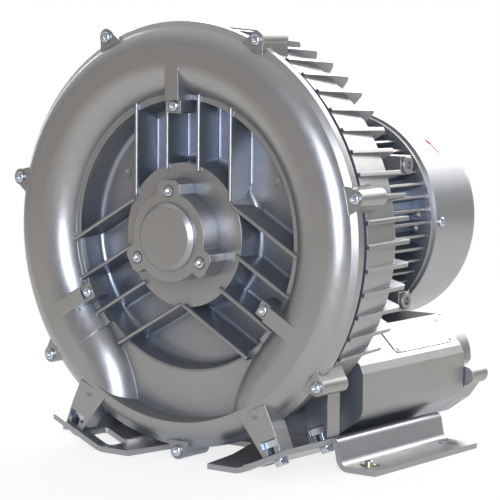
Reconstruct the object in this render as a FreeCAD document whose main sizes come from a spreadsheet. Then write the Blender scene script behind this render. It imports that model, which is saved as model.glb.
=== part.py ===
import FreeCAD
import Part
import Sketcher
import math
import os

# Side channel blower: a two-part ring housing with a bladed impeller inside, a fan-cooled motor
# behind it, a silencer housing with two threaded ports under the motor, and a bent-sheet foot.
# Frame: X to the right seen from the front, Y to the back along the rotor axis, Z up.
# The origin is on the floor, at the centre of the four foot slots.
# Lengths are in millimetres, angles in degrees. "Depth" counts from the joint plane between the
# front cover and the rear housing, and grows towards the back.

DRIVING_SIZES = (
    ("axis_height", 164, "rotor axis above the floor"),
    ("slot_spacing_x", 260, "foot slots, side to side"),
    ("slot_spacing_y", 105, "foot slots, front to back"),
    ("slot_width", 11, "foot slot width"),
    ("slot_length", 16, "foot slot, end to end"),
    ("slot_setback", 47.5, "joint plane to the front pair of slots"),
    ("running_gap", 0.5, "gap between the impeller and the casings"),
    ("fit_gap", 0.05, "radial gap of a shaft in its hole"),
    ("flange_radius", 154, "rim of the front cover"),
    ("flange_edge", 6, "thickness of the rim of the front cover"),
    ("channel_centre", 121, "radius of the ring channel's middle line"),
    ("channel_radius", 15, "half width of the ring channel"),
    ("casting_wall", 5, "wall of the castings"),
    ("ring_front", 19, "flat front of the ring ahead of the joint plane"),
    ("ring_inner", 124.5, "inner edge of the ring's flat front"),
    ("crease_radius", 137.5, "outer edge of the ring's flat front"),
    ("slope_round", 24.5, "rounding from the ring's lip to its flat front"),
    ("lip_radius", 98, "inner edge of the ring's lip"),
    ("lip_width", 4, "flat lip inside the ring"),
    ("lip_front", 4.3, "flat lip ahead of the joint plane"),
    ("skirt_round", 18.4, "rounding of the flange outside the crease"),
    ("skirt_radius", 150, "outer end of the flange's rounding"),
    ("skirt_front", 9.5, "outer end of the flange's rounding, ahead of the joint plane"),
    ("channel_half_sweep", 135, "ring channel, from the top to each end"),
    ("neck_radius", 95, "foot of each outlet neck"),
    ("neck_inner", 72.3, "edge of each outlet neck's flat front"),
    ("neck_sweep", 42, "turn of each outlet neck"),
    ("recess_radius", 133, "outer edge of the recessed plate"),
    ("web_depth", 17, "front of the cover's web"),
    ("web_thickness", 3.5, "web of the cover"),
    ("hub_radius", 52.5, "hub disc of the cover"),
    ("hub_front", 4, "hub disc ahead of the joint plane"),
    ("rib_spacing", 28.7, "ribs in one group"),
    ("rib_thickness", 3, "cooling ribs of the cover"),
    ("rib_front", 7, "ribs ahead of the joint plane"),
    ("rib_groups", 3, "groups of ribs"),
    ("pad_width", 12, "tapped pads inside the ring"),
    ("pad_inner", 88.5, "inner end of the tapped pads"),
    ("pad_outer", 124.8, "outer end of the tapped pads"),
    ("pad_step", 3, "screw face of the tapped pads behind their front"),
    ("pad_hole_circle", 93.5, "screws in the tapped pads"),
    ("lug_circle", 157, "cover screws"),
    ("lug_count", 7, "cover screws"),
    ("lug_front", 10, "cover lugs ahead of the joint plane"),
    ("lug_tip", 6.3, "rounding of the lug tips"),
    ("cover_screw", 3, "shank radius of the cover screws"),
    ("cover_screw_head", 4.2, "head radius of the cover screws"),
    ("cap_radius", 32.5, "bearing cap"),
    ("cap_lobe_reach", 41, "lobes of the bearing cap"),
    ("cap_lobe_width", 20, "lobes of the bearing cap"),
    ("cap_thickness", 18, "bearing cap"),
    ("cap_boss_radius", 24.6, "raised face of the bearing cap"),
    ("cap_boss_height", 4.7, "raised face of the bearing cap"),
    ("cap_screw_circle", 33.1, "screws of the bearing cap"),
    ("cap_screw", 2.5, "shank radius of the cap screws"),
    ("front_bearing_outer", 26, "front bearing, outer radius"),
    ("front_bearing_width", 15, "front bearing"),
    ("rear_bearing_outer", 26, "rear bearing, outer radius"),
    ("rear_bearing_width", 15, "rear bearing"),
    ("ball_count", 9, "balls in a bearing"),
    ("front_journal", 12.5, "shaft radius in the front bearing"),
    ("impeller_seat", 15, "shaft radius in the impeller"),
    ("seal_land", 17, "shaft radius in the seal"),
    ("rotor_seat", 18, "shaft radius in the rotor core"),
    ("rear_journal", 12.5, "shaft radius in the rear bearing"),
    ("fan_seat", 11, "shaft radius in the fan"),
    ("nut_thread", 10.5, "shaft radius in the nut"),
    ("spacer_wall", 5, "sleeve between the front bearing and the impeller"),
    ("seal_outer", 27, "shaft seal"),
    ("seal_width", 7, "shaft seal"),
    ("gasket_thickness", 1, "gaskets"),
    ("impeller_front", 8, "front of the impeller blades"),
    ("impeller_width", 32, "impeller blades, front to back"),
    ("impeller_radius", 138, "impeller"),
    ("impeller_disc", 6, "disc of the impeller"),
    ("impeller_hub", 30, "hub of the impeller"),
    ("impeller_hub_length", 20, "hub of the impeller"),
    ("blade_count", 46, "impeller blades"),
    ("blade_thickness", 1.6, "impeller blades"),
    ("key_width", 8, "impeller key"),
    ("housing_flange", 151, "front flange of the rear housing"),
    ("housing_flange_edge", 5, "front flange of the rear housing"),
    ("housing_step", 147, "strip behind the flange"),
    ("housing_step_end", 10, "end of the strip behind the flange"),
    ("drum_front_radius", 150, "drum of the rear housing, at its front"),
    ("drum_rear_radius", 145, "drum of the rear housing, at its rear rounding"),
    ("drum_round", 10, "rear rounding of the drum"),
    ("drum_back", 60, "back wall of the drum"),
    ("drum_fins", 56, "fin places round the drum"),
    ("fin_run", 19, "fin places used on each side of the top one"),
    ("fin_front_radius", 152, "drum fins, at their front"),
    ("fin_rear_radius", 148.5, "drum fins, at their rear"),
    ("fin_back", 70, "rear edge of the drum fins"),
    ("fin_thickness", 3, "drum fins"),
    ("motor_flange_radius", 88, "front flange of the motor"),
    ("motor_flange_edge", 8, "front flange of the motor"),
    ("motor_screw_circle", 80, "screws of the motor flange"),
    ("frame_radius", 65, "motor frame, without its fins"),
    ("frame_wall", 5, "motor frame"),
    ("frame_back", 200, "rear end of the motor frame"),
    ("frame_fins", 48, "fins of the motor frame"),
    ("frame_fin_reach", 78, "fins of the motor frame"),
    ("frame_fin_thickness", 2.2, "fins of the motor frame"),
    ("tie_pad_reach", 87, "side pads of the motor frame"),
    ("shield_length", 17, "rear end shield"),
    ("cowl_radius", 84, "fan cowl"),
    ("cowl_wall", 1.8, "fan cowl"),
    ("cowl_front", 205, "front edge of the fan cowl"),
    ("cowl_back", 268, "rear face of the fan cowl"),
    ("cowl_round", 9, "rear edge of the fan cowl"),
    ("intake_slots", 24, "radial slots in the fan cowl"),
    ("fan_radius", 72, "cooling fan"),
    ("fan_blades", 9, "cooling fan"),
    ("stator_length", 90, "stator core"),
    ("silencer_front", 57, "front of the silencer housing"),
    ("silencer_back", 198, "rear of the silencer housing"),
    ("silencer_half_width", 115, "silencer housing, to each side"),
    ("silencer_top", 70, "silencer housing below the rotor axis, at its shoulders"),
    ("silencer_floor", 148.5, "silencer housing below the rotor axis, at its bottom"),
    ("silencer_bevel", 22, "slanted shoulder of the silencer housing"),
    ("chamber_offset", 75, "silencing chambers, to each side"),
    ("chamber_drop", 105, "silencing chambers below the rotor axis"),
    ("chamber_radius", 30.5, "silencing chambers"),
    ("liner_wall", 6, "foam liners"),
    ("end_cover_thickness", 22, "rear cover of the silencer"),
    ("port_radius", 23.9, "threaded ports"),
    ("sheet_thickness", 4, "foot bracket sheet"),
    ("foot_front", 22, "front edge of the foot bracket, ahead of the joint plane"),
    ("foot_back", 168, "rear edge of the foot bracket"),
    ("foot_bend", 64, "inner bend of the foot bracket"),
    ("leg_x", 92, "foot screws of the front legs, to each side"),
    ("leg_back", 3, "back of the front legs ahead of the joint plane"),
    ("window_x", 71.5, "windows of the foot bracket, to each side"),
    ("window_width", 23, "windows of the foot bracket"),
    ("foot_slope", 0.4375, "rise of the slanted part of the foot bracket"),
    ("ridge_x", 110, "ridge of the foot bracket"),
    ("foot_wall_x", 116, "outer wall of the foot bracket at the floor"),
    ("foot_half_width", 146, "foot bracket, to each side"),
    ("outer_foot_front", 30, "front edge of the outer foot flanges"),
    ("foot_screw", 3, "shank radius of the foot screws"),
    ("foot_nut_width", 13, "foot nuts"),
    ("foot_nut_height", 5, "foot nuts"),
    ("foot_nut_depth", 8, "foot nuts, front to back"),
    ("rear_leg_x", 101, "rear legs, to each side"),
    ("rear_leg_front", 27, "rear legs"),
    ("rear_leg_width", 15, "rear legs"),
    ("rear_lug_length", 20, "lugs of the rear housing"),
    ("motor_screw", 3, "shank radius of the motor screws"),
    ("rotor_radius", 39.5, "rotor core"),
    ("stator_front", 90, "front of the stator core"),
    ("winding_overhang", 13, "winding heads beyond the stator core"),
    ("key_length", 16, "impeller key"),
    ("box_front", 92, "front of the terminal box"),
    ("box_low", -40, "underside of the terminal box, from the rotor axis"),
    ("box_length", 84, "terminal box, along the motor"),
    ("box_height", 72, "terminal box, upright"),
    ("box_depth", 34, "terminal box body"),
)


class Size:
    """A length with its number now and the sheet formula that it comes from."""

    def __init__(self, number, formula=None):
        self.number = float(number)
        self.formula = formula or "(%r)" % self.number

    def combine(self, other, sign, number):
        return Size(number, "(%s %s %s)" % (self.formula, sign, other.formula))

    def __add__(self, other):
        other = as_size(other)
        return self.combine(other, "+", self.number + other.number)

    def __sub__(self, other):
        other = as_size(other)
        return self.combine(other, "-", self.number - other.number)

    def __mul__(self, other):
        other = as_size(other)
        return self.combine(other, "*", self.number * other.number)

    def __truediv__(self, other):
        other = as_size(other)
        return self.combine(other, "/", self.number / other.number)

    def __radd__(self, other):
        return as_size(other) + self

    def __rsub__(self, other):
        return as_size(other) - self

    def __rmul__(self, other):
        return as_size(other) * self

    def __rtruediv__(self, other):
        return as_size(other) / self

    def __neg__(self):
        return Size(-self.number, "(-%s)" % self.formula)

    def __float__(self):
        return self.number


def as_size(value):
    return value if isinstance(value, Size) else Size(value)


def root(area):
    return Size(math.sqrt(area.number), "sqrt(%s)" % area.formula)


def sine(angle):
    angle = as_size(angle)
    return Size(math.sin(math.radians(angle.number)), "sin(%s * 1 deg)" % angle.formula)


def cosine(angle):
    angle = as_size(angle)
    return Size(math.cos(math.radians(angle.number)), "cos(%s * 1 deg)" % angle.formula)


class Sheet:
    """The driving sizes: every alias of the spreadsheet is an attribute."""

    def __init__(self, document, rows):
        self.table = document.addObject("Spreadsheet::Sheet", "dims")
        for row, (alias, number, meaning) in enumerate(rows, 1):
            self.table.set("A%d" % row, alias)
            self.table.set("B%d" % row, str(number))
            self.table.set("C%d" % row, meaning)
            self.table.setAlias("B%d" % row, alias)
            setattr(self, alias, Size(number, "dims." + alias))


doc = FreeCAD.newDocument("side_channel_blower")
D = Sheet(doc, DRIVING_SIZES)
doc.recompute()

joint_plane = -(D.slot_spacing_y / 2 + D.slot_setback)
ZERO = Size(0)
nodes = []


def bind(feature, path, value):
    """Gives a property its number, and the sheet formula behind it."""
    value = as_size(value)
    if "dims." in value.formula:
        feature.setExpression(path, value.formula)


def origin_part(body, role):
    for item in body.Origin.OriginFeatures:
        if item.Role == role:
            return item
    raise ValueError(role)


def new_body(label, height=None):
    """A body on the rotor axis at the joint plane, or at another height above the floor."""
    height = D.axis_height if height is None else as_size(height)
    body = doc.addObject("PartDesign::Body", label)
    body.Label = label
    body.AllowCompound = True
    base = FreeCAD.Vector(0, joint_plane.number, height.number)
    body.Placement = FreeCAD.Placement(base, FreeCAD.Rotation())
    bind(body, "Placement.Base.y", joint_plane)
    bind(body, "Placement.Base.z", height)
    nodes.append(body)
    return body


def arc_edge(start, end, radius):
    """Minor arc between two points; a negative radius turns clockwise."""
    chord = end.sub(start)
    half = chord.Length / 2
    reach = math.sqrt(max(radius * radius - half * half, 0.0))
    left = FreeCAD.Vector(-chord.y, chord.x, 0).normalize()
    middle = (start + end) * 0.5
    centre = middle + left * (reach if radius > 0 else -reach)
    first, last = (start, end) if radius > 0 else (end, start)
    circle = Part.Circle(centre, FreeCAD.Vector(0, 0, 1), abs(radius))
    angles = [math.atan2(point.y - centre.y, point.x - centre.x) for point in (first, last)]
    return Part.ArcOfCircle(circle, angles[0], angles[1])


def fix_point(sketch, geometry, corner, x, y, waiting):
    """Holds a point at its sheet-driven coordinates from the sketch's origin."""
    for kind, value, axis in (("DistanceX", x, -2), ("DistanceY", y, -1)):
        value = as_size(value)
        if value.formula == ZERO.formula:
            sketch.addConstraint(Sketcher.Constraint("PointOnObject", geometry, corner, axis))
            continue
        number = sketch.addConstraint(
            Sketcher.Constraint(kind, -1, 1, geometry, corner, value.number))
        waiting.append((number, value))


def add_circle(sketch, x, y, radius, waiting):
    centre = FreeCAD.Vector(float(x), float(y), 0)
    circle = Part.Circle(centre, FreeCAD.Vector(0, 0, 1), float(radius))
    number = sketch.addGeometry(circle, False)
    fix_point(sketch, number, 3, x, y, waiting)
    size = sketch.addConstraint(Sketcher.Constraint("Radius", number, float(radius)))
    waiting.append((size, as_size(radius)))


def add_outline(sketch, outline, waiting):
    """Closed outline; a third value at a corner makes the next side an arc of that radius."""
    count = len(outline)
    points = [FreeCAD.Vector(float(corner[0]), float(corner[1]), 0) for corner in outline]
    ends = []
    for index, corner in enumerate(outline):
        start = points[index]
        end = points[(index + 1) % count]
        if len(corner) == 3:
            edge = arc_edge(start, end, float(corner[2]))
            number = sketch.addGeometry(edge, False)
            ends.append((number, 1, 2) if float(corner[2]) > 0 else (number, 2, 1))
        else:
            number = sketch.addGeometry(Part.LineSegment(start, end), False)
            ends.append((number, 1, 2))
    for index, (number, first, last) in enumerate(ends):
        follower, its_first, _ = ends[(index + 1) % count]
        sketch.addConstraint(
            Sketcher.Constraint("Coincident", number, last, follower, its_first))
    for (number, first, last), corner in zip(ends, outline):
        fix_point(sketch, number, first, corner[0], corner[1], waiting)
        if len(corner) == 3:
            radius = as_size(corner[2])
            if radius.number < 0:
                radius = -radius
            size = sketch.addConstraint(Sketcher.Constraint("Radius", number, radius.number))
            waiting.append((size, radius))


def new_sketch(body, plane, shapes, offset=ZERO):
    """Sketch on an origin plane of its body, moved along the plane's normal."""
    sketch = body.newObject("Sketcher::SketchObject", body.Label + "_sketch")
    sketch.AttachmentSupport = [(origin_part(body, plane), "")]
    sketch.MapMode = "FlatFace"
    offset = as_size(offset)
    sketch.AttachmentOffset = FreeCAD.Placement(
        FreeCAD.Vector(0, 0, offset.number), FreeCAD.Rotation())
    bind(sketch, "AttachmentOffset.Base.z", offset)
    waiting = []
    for shape in shapes:
        if isinstance(shape, tuple):
            add_circle(sketch, *shape, waiting)
        else:
            add_outline(sketch, shape, waiting)
    for number, value in waiting:
        bind(sketch, "Constraints[%d]" % number, value)
    return sketch


def extrude(body, kind, plane, shapes, start, length):
    """Pad or pocket from a start plane, always towards +Y, +X or +Z."""
    start = as_size(start)
    backwards = plane == "XZ_Plane"
    sketch = new_sketch(body, plane, shapes, -start if backwards else start)
    feature = body.newObject("PartDesign::" + kind, body.Label + "_" + kind.lower())
    feature.Profile = (sketch, [""])
    feature.Reversed = backwards if kind == "Pad" else not backwards
    feature.Length = float(length)
    bind(feature, "Length", length)
    return feature


def pad(body, plane, shapes, start, length):
    return extrude(body, "Pad", plane, shapes, start, length)


def pocket(body, plane, shapes, start, length):
    return extrude(body, "Pocket", plane, shapes, start, length)


def turn(body, kind, outlines, angle=360):
    """Revolution or groove of (depth, radius) outlines about the rotor axis."""
    sketch = new_sketch(body, "YZ_Plane", outlines)
    feature = body.newObject("PartDesign::" + kind, body.Label + "_" + kind.lower())
    feature.Profile = (sketch, [""])
    feature.ReferenceAxis = (sketch, ["H_Axis"])
    feature.Midplane = float(angle) < 360
    feature.Angle = float(angle)
    bind(feature, "Angle", angle)
    return feature


def revolve(body, outlines, angle=360):
    return turn(body, "Revolution", outlines, angle)


def groove(body, outlines, angle=360):
    return turn(body, "Groove", outlines, angle)


def repeat(body, features, count, angle=360, reverse=False):
    """Polar pattern of features about the rotor axis."""
    doc.recompute()
    pattern = body.newObject("PartDesign::PolarPattern", body.Label + "_pattern")
    pattern.Originals = features
    pattern.Axis = (origin_part(body, "Y_Axis"), [""])
    pattern.Reversed = reverse
    pattern.Angle = float(angle)
    bind(pattern, "Angle", angle)
    pattern.Occurrences = int(round(float(count)))
    bind(pattern, "Occurrences", count)
    body.Tip = pattern
    return pattern


def repeat_all(body, count):
    """Polar pattern of the whole piece, for a set of separate solids."""
    doc.recompute()
    pattern = body.newObject("PartDesign::PolarPattern", body.Label + "_set")
    pattern.TransformMode = "Whole shape"
    pattern.Axis = (origin_part(body, "Y_Axis"), [""])
    pattern.Occurrences = int(round(float(count)))
    bind(pattern, "Occurrences", count)
    body.Tip = pattern
    return pattern


def mirrored(outline):
    """The same outline on the other side of the middle plane."""
    other = []
    count = len(outline)
    for index in range(count):
        corner = outline[-index % count]
        following = outline[(-index - 1) % count]
        x = -as_size(corner[0])
        if len(following) == 3:
            other.append((x, corner[1], following[2]))
        else:
            other.append((x, corner[1]))
    return other


def both_sides(outline):
    return [outline, mirrored(outline)]


def rectangle(x_low, x_high, y_low, y_high):
    return [(x_low, y_low), (x_high, y_low), (x_high, y_high), (x_low, y_high)]


def hexagon(x, y, across):
    """Regular hexagon by its width across flats."""
    x, y = as_size(x), as_size(y)
    reach = as_size(across) / math.sqrt(3)
    half = as_size(across) / 2
    return [(x + reach, y), (x + reach / 2, y + half), (x - reach / 2, y + half),
            (x - reach, y), (x - reach / 2, y - half), (x + reach / 2, y - half)]


def around(radius, count, first_angle):
    """Places on a circle about the rotor axis; angles count from the top, clockwise from ahead."""
    places = []
    for index in range(int(round(float(count)))):
        angle = first_angle + index * (360 / as_size(count))
        places.append((as_size(radius) * sine(angle), as_size(radius) * cosine(angle)))
    return places


def circles(places, radius):
    return [(as_size(x), as_size(y), as_size(radius)) for x, y in places]


def screw_set(label, places, seat, head, head_height, shank, shank_length):
    """Screws that come in from the front: socket heads on a seat, shanks behind it."""
    body = new_body(label)
    pad(body, "XZ_Plane", circles(places, head), seat - head_height, head_height)
    pad(body, "XZ_Plane", circles(places, shank), seat, shank_length)
    sockets = [hexagon(x, y, as_size(head)) for x, y in places]
    pocket(body, "XZ_Plane", sockets, seat - head_height - 1, as_size(head_height) * 0.55 + 1)


def rear_screw_set(label, places, seat, head, head_height, shank, shank_length):
    """Screws that come in from the back."""
    body = new_body(label)
    pad(body, "XZ_Plane", circles(places, shank), seat - shank_length, shank_length)
    pad(body, "XZ_Plane", circles(places, head), seat, head_height)
    sockets = [hexagon(x, y, as_size(head)) for x, y in places]
    pocket(body, "XZ_Plane", sockets, seat + as_size(head_height) * 0.45, head_height)


# Depths and radii that several pieces share
ring_front = -D.ring_front
lip_outer = D.lip_radius + D.lip_width
inner_wall = D.lip_radius - 2
channel_front = D.channel_radius + D.casting_wall - D.ring_front
pad_seat = D.pad_step - D.ring_front
cover_back = D.impeller_front - D.running_gap
impeller_back = D.impeller_front + D.impeller_width
cavity_back = impeller_back + D.running_gap
cavity_radius = D.impeller_radius + D.running_gap * 3
channel_inner = D.channel_centre - D.channel_radius
channel_outer = D.channel_centre + D.channel_radius
web_back = D.web_depth + D.web_thickness
wall_inside = D.lip_radius + 1
lug_places = around(D.lug_circle, D.lug_count, Size(180))
cap_places = around(D.cap_screw_circle, 3, Size(0))
pad_places = around(D.pad_hole_circle, 3, Size(0))
neck_centre = (D.ring_inner + D.neck_inner) * sine(45)
front_bearing_front = -D.hub_front + 2
front_bearing_back = front_bearing_front + D.front_bearing_width
disc_front = web_back + 2 * D.running_gap
motor_front = D.drum_back
shield_front = D.frame_back - 4
shield_back = D.frame_back + D.shield_length
rear_bearing_front = D.frame_back - 1
rear_bearing_back = rear_bearing_front + D.rear_bearing_width

passage = D.front_journal + D.spacer_wall + 1
disc_back = disc_front + D.impeller_disc
hub_back = disc_front + D.impeller_hub_length
core_front = D.stator_front
core_back = D.stator_front + D.stator_length
seal_front = D.drum_back - D.seal_width - 1
fan_back = D.cowl_back - 26
key_front = disc_front + 2
cowl_screw_depth = D.cowl_front + 6
motor_places = around(D.motor_screw_circle, 4, Size(45))
leg_x = D.leg_x
leg_screw_depth = -(D.ring_front + D.leg_back) / 2
rear_leg_x = D.rear_leg_x
rear_leg_screw_depth = D.rear_leg_front + 5
drum_seat = D.silencer_front + 3
box_front = D.box_front
box_back = D.box_front + D.box_length
box_low = D.box_low
box_high = D.box_low + D.box_height
box_seat_face = -D.frame_fin_reach - 4
box_seat = box_seat_face
box_open = box_seat_face - D.box_depth
box_screws = [(box_front + 6, box_low + 6), (box_back - 6, box_low + 6),
              (box_back - 6, box_high - 6), (box_front + 6, box_high - 6)]
cover_holes = [(-(D.silencer_half_width - 16), Size(-131.5)), (Size(-36), Size(-104)),
               (Size(36), Size(-104)), (D.silencer_half_width - 16, Size(-131.5))]


def foot_top(x):
    """Height of the slanted sheet's upper side above the floor."""
    return D.sheet_thickness + (x - D.foot_bend) * D.foot_slope


def below_axis(height):
    """A height above the floor, measured from the rotor axis."""
    return height - D.axis_height


def make_front_cover():
    body = new_body("front_cover")
    corner = Size(5)
    hub_foot = D.hub_radius + 1
    plate = [
        (-D.hub_front, passage), (-D.hub_front, D.hub_radius),
        (D.web_depth - corner, hub_foot, corner), (D.web_depth, hub_foot + corner),
        (D.web_depth, inner_wall - corner, corner), (D.web_depth - corner, inner_wall),
        (Size(0), D.lip_radius), (Size(-0.5), D.lip_radius + 1.5),
        (Size(-0.5), D.recess_radius), (ring_front, D.recess_radius + 1.2),
        (ring_front, D.crease_radius, -D.skirt_round), (-D.skirt_front, D.skirt_radius),
        (-D.flange_edge, D.flange_radius), (Size(0), D.flange_radius),
        (Size(0), cavity_radius - D.running_gap), (cover_back, cavity_radius - D.running_gap),
        (cover_back, wall_inside), (web_back, wall_inside), (web_back, passage),
    ]
    ring = [
        (Size(0), D.lip_radius), (-D.lip_front, D.lip_radius),
        (-D.lip_front, lip_outer, -D.slope_round), (ring_front, D.ring_inner),
        (ring_front, D.crease_radius), (Size(0), D.crease_radius),
    ]
    revolve(body, [ring], D.channel_half_sweep * 2)
    add_necks(body)
    beyond = rectangle(ring_front - 1, Size(1), D.crease_radius, D.flange_radius * 2)
    groove(body, [beyond])
    revolve(body, [plate])
    add_ribs(body)
    half = D.pad_width / 2
    low = pad(body, "XZ_Plane", [rectangle(-half, half, D.pad_inner, lip_outer)],
              pad_seat, -pad_seat)
    high = pad(body, "XZ_Plane", [rectangle(-half, half, D.lip_radius, D.pad_outer)],
               ring_front, D.ring_front)
    repeat(body, [low, high], 3)
    add_cover_lugs(body)
    add_cover_legs(body)
    channel = [
        (cover_back + 1, channel_inner), (channel_front, channel_inner, -D.channel_radius),
        (channel_front - D.channel_radius, D.channel_centre, -D.channel_radius),
        (channel_front, channel_outer), (cover_back + 1, channel_outer),
    ]
    groove(body, [channel], D.channel_half_sweep * 2 - 4)
    seat = rectangle(-D.hub_front - 1, front_bearing_back, Size(5), D.front_bearing_outer)
    groove(body, [seat])
    pocket(body, "XZ_Plane", circles(cap_places, D.cap_screw), -D.hub_front, 12)
    pocket(body, "XZ_Plane", circles(pad_places, 2.5), pad_seat, 12)
    pocket(body, "XZ_Plane", circles(lug_places, D.cover_screw + 0.3), -D.lug_front - 5,
           D.lug_front + 6)
    tee_slots(body, ring_front - 1, D.ring_front - D.leg_back + 2, leg_x)


def add_necks(body):
    """The ring's section leaves the ring at each side and turns down, about a line beside the
    ring at which the two flat fronts meet."""
    narrow = D.neck_inner - 32
    profile = [
        (Size(0), narrow), (ring_front, narrow), (ring_front, D.neck_inner, -D.slope_round),
        (Size(0), D.neck_radius),
    ]
    half_turn = 180 - D.channel_half_sweep + D.neck_sweep / 2
    for side in (1, -1):
        sketch = new_sketch(body, "YZ_Plane", [profile])
        turned = half_turn * -side
        sketch.AttachmentOffset = FreeCAD.Placement(
            FreeCAD.Vector(0, -neck_centre.number, neck_centre.number * side),
            FreeCAD.Rotation(FreeCAD.Vector(1, 0, 0), turned.number))
        bind(sketch, "AttachmentOffset.Base.y", -neck_centre)
        bind(sketch, "AttachmentOffset.Base.z", neck_centre * side)
        bind(sketch, "AttachmentOffset.Rotation.Angle", turned)
        neck = body.newObject("PartDesign::Revolution", "front_cover_neck")
        neck.Profile = (sketch, [""])
        neck.ReferenceAxis = (sketch, ["H_Axis"])
        neck.Midplane = True
        neck.Angle = D.neck_sweep.number
        bind(neck, "Angle", D.neck_sweep)


def add_ribs(body):
    """Three groups of four parallel round-edged ribs between the hub and the ring's slope."""
    half = D.rib_thickness / 2
    front, back = half - D.rib_front, D.web_depth + 1
    ribs = []
    for step in (0.5, 1.5):
        x = D.rib_spacing * step
        foot = root(D.hub_radius * D.hub_radius - x * x) - 3
        head = root((lip_outer + 1) * (lip_outer + 1) - x * x)
        outline = [(x - half, back), (x - half, front, half), (x, -D.rib_front, half),
                   (x + half, front), (x + half, back)]
        ribs.append(pad(body, "XY_Plane", both_sides(outline), foot, head - foot))
    repeat(body, ribs, D.rib_groups)
    groove(body, [rectangle(cover_back, web_back + 1, wall_inside, lip_outer + 4)])


def lug_outline():
    """Ear at the bottom of the rim, with a rounded tip round the screw."""
    foot = D.housing_step - 3
    tip, reach = D.lug_tip, D.lug_circle
    return [(tip * -2, -foot), (-tip, -reach, tip), (ZERO, -reach - tip, tip), (tip, -reach),
            (tip * 2, -foot)]


def add_cover_lugs(body):
    pad(body, "XZ_Plane", [lug_outline()], -D.lug_front, D.lug_front)
    repeat(body, [body.Tip], D.lug_count)


def leg_outline():
    """Front leg: a tapering foot from the crease down to the slanted sheet."""
    inner, outer = leg_x - 8, leg_x + 7
    return [(Size(60), Size(-122)), (Size(70), Size(-133.5)),
            (inner, below_axis(foot_top(inner)) + 0.3), (outer, below_axis(foot_top(outer)) + 0.3),
            (Size(93), Size(-129.5)), (Size(85), Size(-112.5))]


def add_cover_legs(body):
    pad(body, "XZ_Plane", both_sides(leg_outline()), ring_front, D.ring_front - D.leg_back)


def make_cap():
    """Lobed cover plate over the front bearing, with a raised round face and a hollow back."""
    body = new_body("bearing_cap")
    front = -D.hub_front - D.cap_thickness
    edge = front - D.cap_boss_height
    revolve(body, [[
        (edge, ZERO), (edge, D.cap_boss_radius - 3), (edge + 3, D.cap_boss_radius),
        (front, D.cap_boss_radius), (front, D.cap_radius), (-D.hub_front, D.cap_radius),
        (-D.hub_front, ZERO)]])
    half = D.cap_lobe_width / 2
    lobe = [(-half, D.cap_radius - 8), (half, D.cap_radius - 8), (half, D.cap_lobe_reach - 3),
            (half - 4, D.cap_lobe_reach), (-half + 4, D.cap_lobe_reach),
            (-half, D.cap_lobe_reach - 3)]
    pad(body, "XZ_Plane", [lobe], front, D.cap_thickness)
    repeat(body, [body.Tip], 3)
    groove(body, [rectangle(front + 4, Size(1), ZERO, passage)])
    pocket(body, "XZ_Plane", circles(cap_places, D.cap_screw + 0.2), front - 1, D.cap_thickness + 2)
    pocket(body, "XZ_Plane", circles(cap_places, D.cap_screw + 2), front - 1, 3)


def make_ring(label, outline):
    body = new_body(label)
    revolve(body, [outline])
    return body


def make_bearing(prefix, front, width, outer, journal):
    """Outer ring, inner ring and balls of a deep groove bearing."""
    wall = (outer - journal) * 0.28
    ball = (outer - journal) * 0.29
    pitch = (outer + journal) / 2
    middle = front + width / 2
    track = ball + 0.05
    step = outer - wall - pitch
    reach = root(track * track - step * step)
    make_ring(prefix + "_bearing_outer_ring", [
        (front, outer), (front, outer - wall), (middle - reach, outer - wall, -track),
        (middle + reach, outer - wall), (front + width, outer - wall), (front + width, outer)])
    make_ring(prefix + "_bearing_inner_ring", [
        (front, journal), (front, journal + wall), (middle - reach, journal + wall, track),
        (middle + reach, journal + wall), (front + width, journal + wall),
        (front + width, journal)])
    body = new_body(prefix + "_bearing_balls")
    sphere = body.newObject("PartDesign::AdditiveSphere", prefix + "_ball")
    sphere.Radius = ball.number
    bind(sphere, "Radius", ball)
    sphere.AttachmentOffset = FreeCAD.Placement(
        FreeCAD.Vector(0, middle.number, pitch.number), FreeCAD.Rotation())
    sphere.AttachmentSupport = [(origin_part(body, "XY_Plane"), "")]
    sphere.MapMode = "FlatFace"
    bind(sphere, "AttachmentOffset.Base.y", middle)
    bind(sphere, "AttachmentOffset.Base.z", pitch)
    repeat_all(body, D.ball_count)


def make_shaft_line():
    """Shaft, sleeve, nut, key and the clip that holds the fan."""
    tip = front_bearing_front - 14
    outline = [
        (tip, ZERO), (tip, D.nut_thread), (front_bearing_front, D.nut_thread),
        (front_bearing_front, D.front_journal), (disc_front, D.front_journal),
        (disc_front, D.impeller_seat), (hub_back, D.impeller_seat), (hub_back, D.seal_land),
        (core_front, D.seal_land), (core_front, D.rotor_seat), (core_back, D.rotor_seat),
        (core_back, D.seal_land), (rear_bearing_front, D.seal_land - 2),
        (rear_bearing_front, D.rear_journal), (rear_bearing_back, D.rear_journal),
        (rear_bearing_back, D.fan_seat), (fan_back + 5, D.fan_seat), (fan_back + 5, ZERO),
    ]
    body = new_body("shaft")
    revolve(body, [outline])
    pocket(body, "XZ_Plane", [key_outline()], key_front, D.key_length)
    make_ring("spacer_sleeve", rectangle(
        front_bearing_back, disc_front, D.front_journal, D.front_journal + D.spacer_wall))
    nut = make_ring("shaft_nut", rectangle(
        front_bearing_front - 8, front_bearing_front, D.nut_thread, D.nut_thread + 6.5))
    notch = rectangle(Size(-2), Size(2), D.nut_thread + 4, D.nut_thread + 8)
    pocket(nut, "XZ_Plane", [notch], front_bearing_front - 9, 10)
    repeat(nut, [nut.Tip], 4)
    key = new_body("impeller_key")
    pad(key, "XZ_Plane", [key_outline()], key_front, D.key_length)
    make_ring("fan_clip", rectangle(fan_back, fan_back + 1.5, D.fan_seat, D.fan_seat + 3))


def key_outline():
    return rectangle(-D.key_width / 2, D.key_width / 2, D.impeller_seat - 4, D.impeller_seat + 3)


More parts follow.
